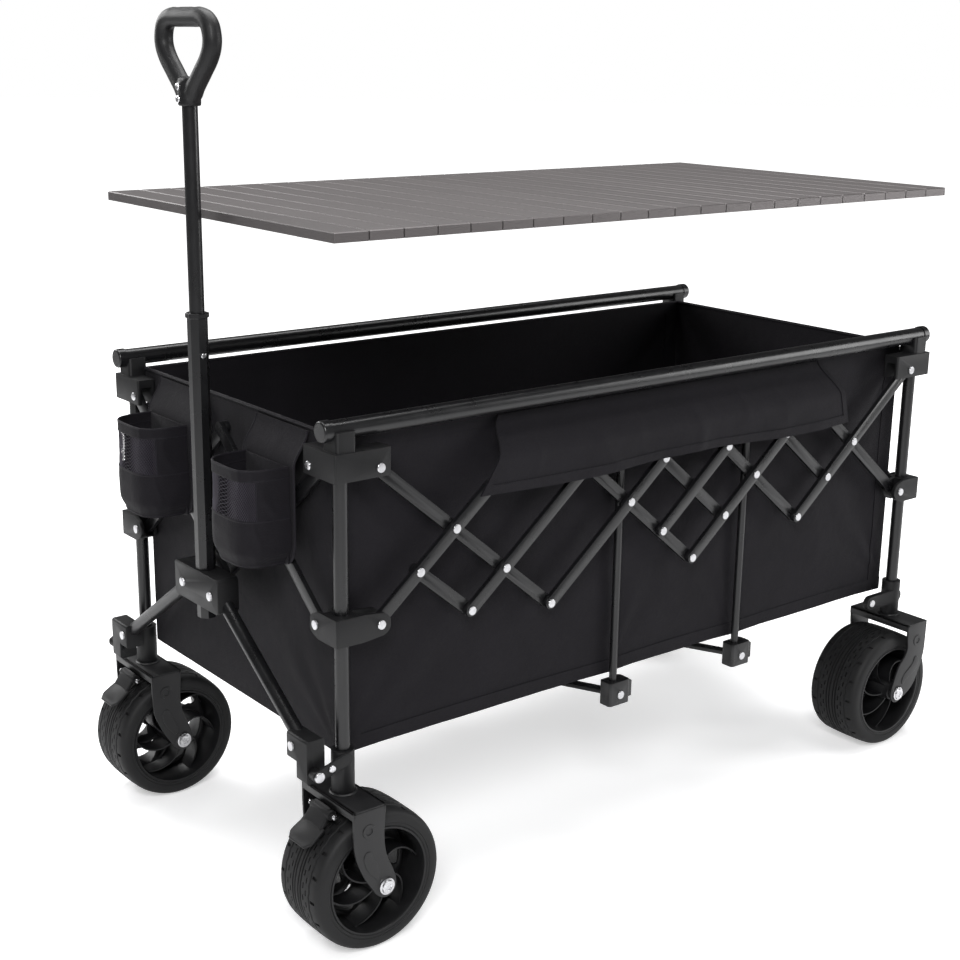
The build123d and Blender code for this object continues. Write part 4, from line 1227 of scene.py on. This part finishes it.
class WAGON_OT_pockets(bpy.types.Operator):
    """Sew the two bottle pockets"""

    bl_idname = "wagon.pockets"
    bl_label = "Bottle pockets"

    def execute(self, context):
        colours, sizes, _ = settings()
        cloth = woven("pocket_cloth", colours.fabric, "YZ", pitch=0.002)
        tape = woven("pocket_tape", shade(colours.fabric, 1.3), "YZ", pitch=0.003, roughness=0.6)
        net = coated_steel("pocket_net", shade(colours.fabric, 6.0)[:3], roughness=0.6)
        for side in SIDES:
            self.pocket("pocket_" + side, sizes, cloth, tape, net)
        return {"FINISHED"}

    def pocket(self, node, sizes, cloth, tape, net):
        """One pocket: cup, net window between two cheeks, top band, base, edgings and backing panel."""
        low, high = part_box(node)
        height = high.z - low.z

        def wall(bottom, top, first=0.0, last=1.0):
            def surface(u, v):
                u = first + (last - first) * u
                level = bottom + (top - bottom) * v
                point = pocket_outline(low, high, u)
                sag = 0.0035 * math.sin(math.pi * min(1, level * 1.6))
                sag += 0.0015 * creases((u * 2, level), 2.4, 4.2)
                tuck = 0.010 * smoothstep(1 - level * 6)
                centre = Vector(((low.x + high.x) / 2, (low.y + high.y) / 2, 0))
                away = (point - centre) * (1 - (tuck - sag) / 0.06)
                point = centre + away
                point.x = min(point.x, high.x - 0.0012)
                point.z = low.z + level * height
                return point
            return surface

        cup = cloth_sheet(node + "_cup", 60, 26, wall(0, NET_LOW), sizes.cloth)
        band = cloth_sheet(node + "_band", 60, 6, wall(NET_HIGH, 1), sizes.cloth * 1.4)
        back = rounded_box(node + "_back", (high.x - 0.0034, low.y + 0.001, low.z),
                           (high.x - 0.001, high.y - 0.001, high.z), 0.0008)
        base = start(node + "_base", "grid", x_subdivisions=24, y_subdivisions=12, size=2)

        def floor(co):
            rim = wall(0, 1)((co.x + 1) / 2, 0)
            shrink = (co.y + 1) / 2
            return Vector((high.x - 0.002 + (rim.x - high.x + 0.002) * shrink, rim.y, low.z + 0.0015))

        reshape(base, floor)
        leave(base)
        modify(base, "SOLIDIFY", thickness=0.002, offset=0)
        cheeks = [cloth_sheet(node + "_cheek", 14, 16, wall(NET_LOW, NET_HIGH, first, last), sizes.cloth)
                  for first, last in ((0.0, NET_START), (NET_END, 1.0))]
        body = join(node + "_pouch", cup, band, back, base, *cheeks)
        settle(body, cloth, "front_frame", "fabric", node)
        round_length = 2 * (high.x - low.x) + (high.y - low.y)
        self.net(node, wall, height, round_length, sizes, net)
        for name, level in (("rim", 1.0), ("net_top", NET_HIGH), ("net_foot", NET_LOW), ("seam", 0.02)):
            shape = wall(0, 1)
            points = [shape(i / 60, level) for i in range(61)]
            edging = strand("%s_%s" % (node, name), points, sizes.binding / 2)
            settle(edging, tape, "front_frame", "fabric")
        for name, share in (("net_left", NET_START), ("net_right", NET_END)):
            shape = wall(NET_LOW, NET_HIGH)
            points = [shape(share, i / 12) for i in range(13)]
            edging = strand("%s_%s" % (node, name), points, sizes.binding / 2)
            settle(edging, tape, "front_frame", "fabric")
        self.backing(node, low, high, sizes, cloth, tape)

    def backing(self, node, low, high, sizes, cloth, tape):
        """Flat panel behind a pocket, with a piped edge. It runs up to the basket's top hem."""
        left, right = low.y - 0.011, high.y + 0.011
        foot, head = low.z - 0.003, PANEL_HIGH.z - 0.004
        corner = 0.030
        hem_x = FRONT_X - 0.004

        def surface(u, v):
            y = left + (right - left) * u
            side = min(y - left, right - y)
            rise = corner - math.sqrt(max(0, corner ** 2 - (corner - side) ** 2)) if side < corner else 0
            start_z = foot + rise
            z = start_z + (head - start_z) * v
            lean = smoothstep((z - high.z) / (head - high.z))
            return Vector((high.x + 0.0008 + (hem_x - high.x - 0.0008) * lean, y, z))

        panel = cloth_sheet(node + "_backing", 40, 40, surface, sizes.cloth)
        settle(panel, cloth, "front_frame", "fabric")
        edge = ([surface(0, 1 - i / 24) for i in range(25)] + [surface(i / 24, 0) for i in range(1, 24)]
                + [surface(1, i / 24) for i in range(25)])
        settle(strand(node + "_piping", edge, 0.0017), tape, "front_frame", "fabric")

    def net(self, node, wall, height, round_length, sizes, finish):
        """Knotless mesh in the window: a turned grid turned into thin strands."""
        columns = int(round_length * (NET_END - NET_START) / sizes.net_cell)
        rows = int(height * (NET_HIGH - NET_LOW) / sizes.net_cell)
        piece = start(node + "_net", "grid", x_subdivisions=columns, y_subdivisions=rows, size=2)
        shape = wall(NET_LOW, NET_HIGH, NET_START, NET_END)
        bpy.ops.mesh.select_all(action="SELECT")
        bpy.ops.mesh.poke()
        bpy.ops.mesh.select_mode(type="EDGE")
        mesh = bmesh.from_edit_mesh(piece.data)
        for edge in mesh.edges:
            direction = edge.verts[0].co - edge.verts[1].co
            straight = abs(direction.x) < 1e-5 or abs(direction.y) < 1e-5
            edge.select_set(straight and len(edge.link_faces) == 2)
        bmesh.update_edit_mesh(piece.data)
        bpy.ops.mesh.dissolve_edges(use_verts=False)
        reshape(piece, lambda co: shape((co.x + 1) / 2, (co.y + 1) / 2))
        leave(piece)
        modify(piece, "WIREFRAME", thickness=0.0009, use_even_offset=False, use_boundary=True)
        settle(piece, finish, "front_frame", "fabric")


# ---- Table ---------------------------------------------------------------------------------------
class WAGON_OT_table(bpy.types.Operator):
    """Finish the slatted table top and its straps"""

    bl_idname = "wagon.table"
    bl_label = "Table"

    def execute(self, context):
        colours, _, _ = settings()
        slats = frame["nodes"]["table_slats"]
        low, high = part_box("table_slats")
        slat_count, gap = 23, 0.002
        dress(slats, anodised("graphite_slats", colours.table, low.x, (high.x - low.x + gap) / slat_count))
        dress(frame["nodes"]["table_straps"], woven("strap_webbing", colours.fabric, "XY", pitch=0.003))
        return {"FINISHED"}


# ---- Stage ---------------------------------------------------------------------------------------
def area_light(name, place, target, size, power):
    """A rectangular white light at place that points at target."""
    light = bpy.data.lights.new(name, "AREA")
    light.shape, light.size, light.size_y, light.energy = "RECTANGLE", size[0], size[1], power
    lamp = bpy.data.objects.new(name, light)
    bpy.context.scene.collection.objects.link(lamp)
    lamp.location = place
    lamp.rotation_euler = (Vector(target) - Vector(place)).to_track_quat("-Z", "Y").to_euler()


class WAGON_OT_stage(bpy.types.Operator):
    """Set up the camera, the lights and the pale floor"""

    bl_idname = "wagon.stage"
    bl_label = "Stage"

    def execute(self, context):
        _, _, view = settings()
        camera = bpy.data.objects.new("camera", bpy.data.cameras.new("camera"))
        bpy.context.scene.collection.objects.link(camera)
        camera.data.lens, camera.data.sensor_width = view.lens, 36
        a, e = view.azimuth, view.elevation
        forward = Vector((-math.sin(a) * math.cos(e), math.cos(a) * math.cos(e), -math.sin(e)))
        right = forward.cross(Vector((0, 0, 1))).normalized()
        up = right.cross(forward)
        turned_right = math.cos(view.roll) * right + math.sin(view.roll) * up
        turned_up = -math.sin(view.roll) * right + math.cos(view.roll) * up
        camera.matrix_world = Matrix((
            (turned_right.x, turned_up.x, -forward.x, view.place[0]),
            (turned_right.y, turned_up.y, -forward.y, view.place[1]),
            (turned_right.z, turned_up.z, -forward.z, view.place[2]),
            (0, 0, 0, 1)))
        bpy.context.scene.camera = camera
        area_light("key", (-2.2, -2.4, 2.6), (0, 0, 0.5), (1.2, 1.2), 90)
        area_light("top", (0.2, 0.4, 3.4), (0, 0, 0.4), (3.0, 2.4), 150)
        area_light("side", (2.8, -2.2, 1.5), (0.2, 0, 0.5), (1.2, 2.0), 45)
        area_light("back", (-1.2, 3.0, 2.0), (0, 0, 0.6), (2.4, 1.4), 60)
        world = bpy.data.worlds.new("studio")
        bpy.context.scene.world = world
        world.use_nodes = True
        tree = world.node_tree
        path = tree.nodes.new("ShaderNodeLightPath")
        strength = tree.nodes.new("ShaderNodeMapRange")
        strength.inputs["To Min"].default_value = 0.10
        strength.inputs["To Max"].default_value = 1.0
        tree.links.new(path.outputs["Is Camera Ray"], strength.inputs["Value"])
        tree.links.new(strength.outputs[0], tree.nodes["Background"].inputs["Strength"])
        tree.nodes["Background"].inputs["Color"].default_value = (1, 1, 1, 1)
        bpy.context.scene.view_settings.view_transform = "Standard"
        floor = start("floor", "circle", vertices=96, radius=30, fill_type="NGON")
        leave(floor)
        dress(floor, paper_floor("white_sweep", 0.9))
        floor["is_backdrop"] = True
        return {"FINISHED"}


# ---- Panel and registration ----------------------------------------------------------------------
STEPS = ("stage", "frame", "wheels", "forks", "grip", "basket", "pockets", "table")


class WAGON_PT_panel(bpy.types.Panel):
    """Lists the wagon's steps and settings"""

    bl_idname = "WAGON_PT_panel"
    bl_label = "Wagon"
    bl_space_type = "VIEW_3D"
    bl_region_type = "UI"
    bl_category = "Wagon"

    def draw(self, context):
        layout = self.layout
        for step in STEPS:
            layout.operator("wagon." + step)
        for group in (context.scene.wagon_colours, context.scene.wagon_sizes, context.scene.wagon_view):
            box = layout.box()
            for name in group.__annotations__:
                box.prop(group, name)


CLASSES = (WagonColours, WagonSizes, WagonView, WAGON_OT_stage, WAGON_OT_frame, WAGON_OT_wheels,
           WAGON_OT_forks, WAGON_OT_grip, WAGON_OT_basket, WAGON_OT_pockets, WAGON_OT_table, WAGON_PT_panel)
GROUPS = {"wagon_colours": WagonColours, "wagon_sizes": WagonSizes, "wagon_view": WagonView}


def register():
    """Registers the classes and hangs the settings on the scene."""
    for cls in CLASSES:
        bpy.utils.register_class(cls)
    for name, group in GROUPS.items():
        setattr(bpy.types.Scene, name, bpy.props.PointerProperty(type=group))


def unregister():
    """Takes the settings and classes off again."""
    for name in GROUPS:
        delattr(bpy.types.Scene, name)
    for cls in reversed(CLASSES):
        bpy.utils.unregister_class(cls)


def corners(box):
    """The low and high corner as plain lists."""
    return [list(corner) for corner in box]


def main():
    """Builds the wagon step by step."""
    register()
    for step in STEPS:
        getattr(bpy.ops.wagon, step)()
    {"cad": corners(CAD_BOX), "visual": corners(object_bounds())}


if __name__ == "__main__":
    main()
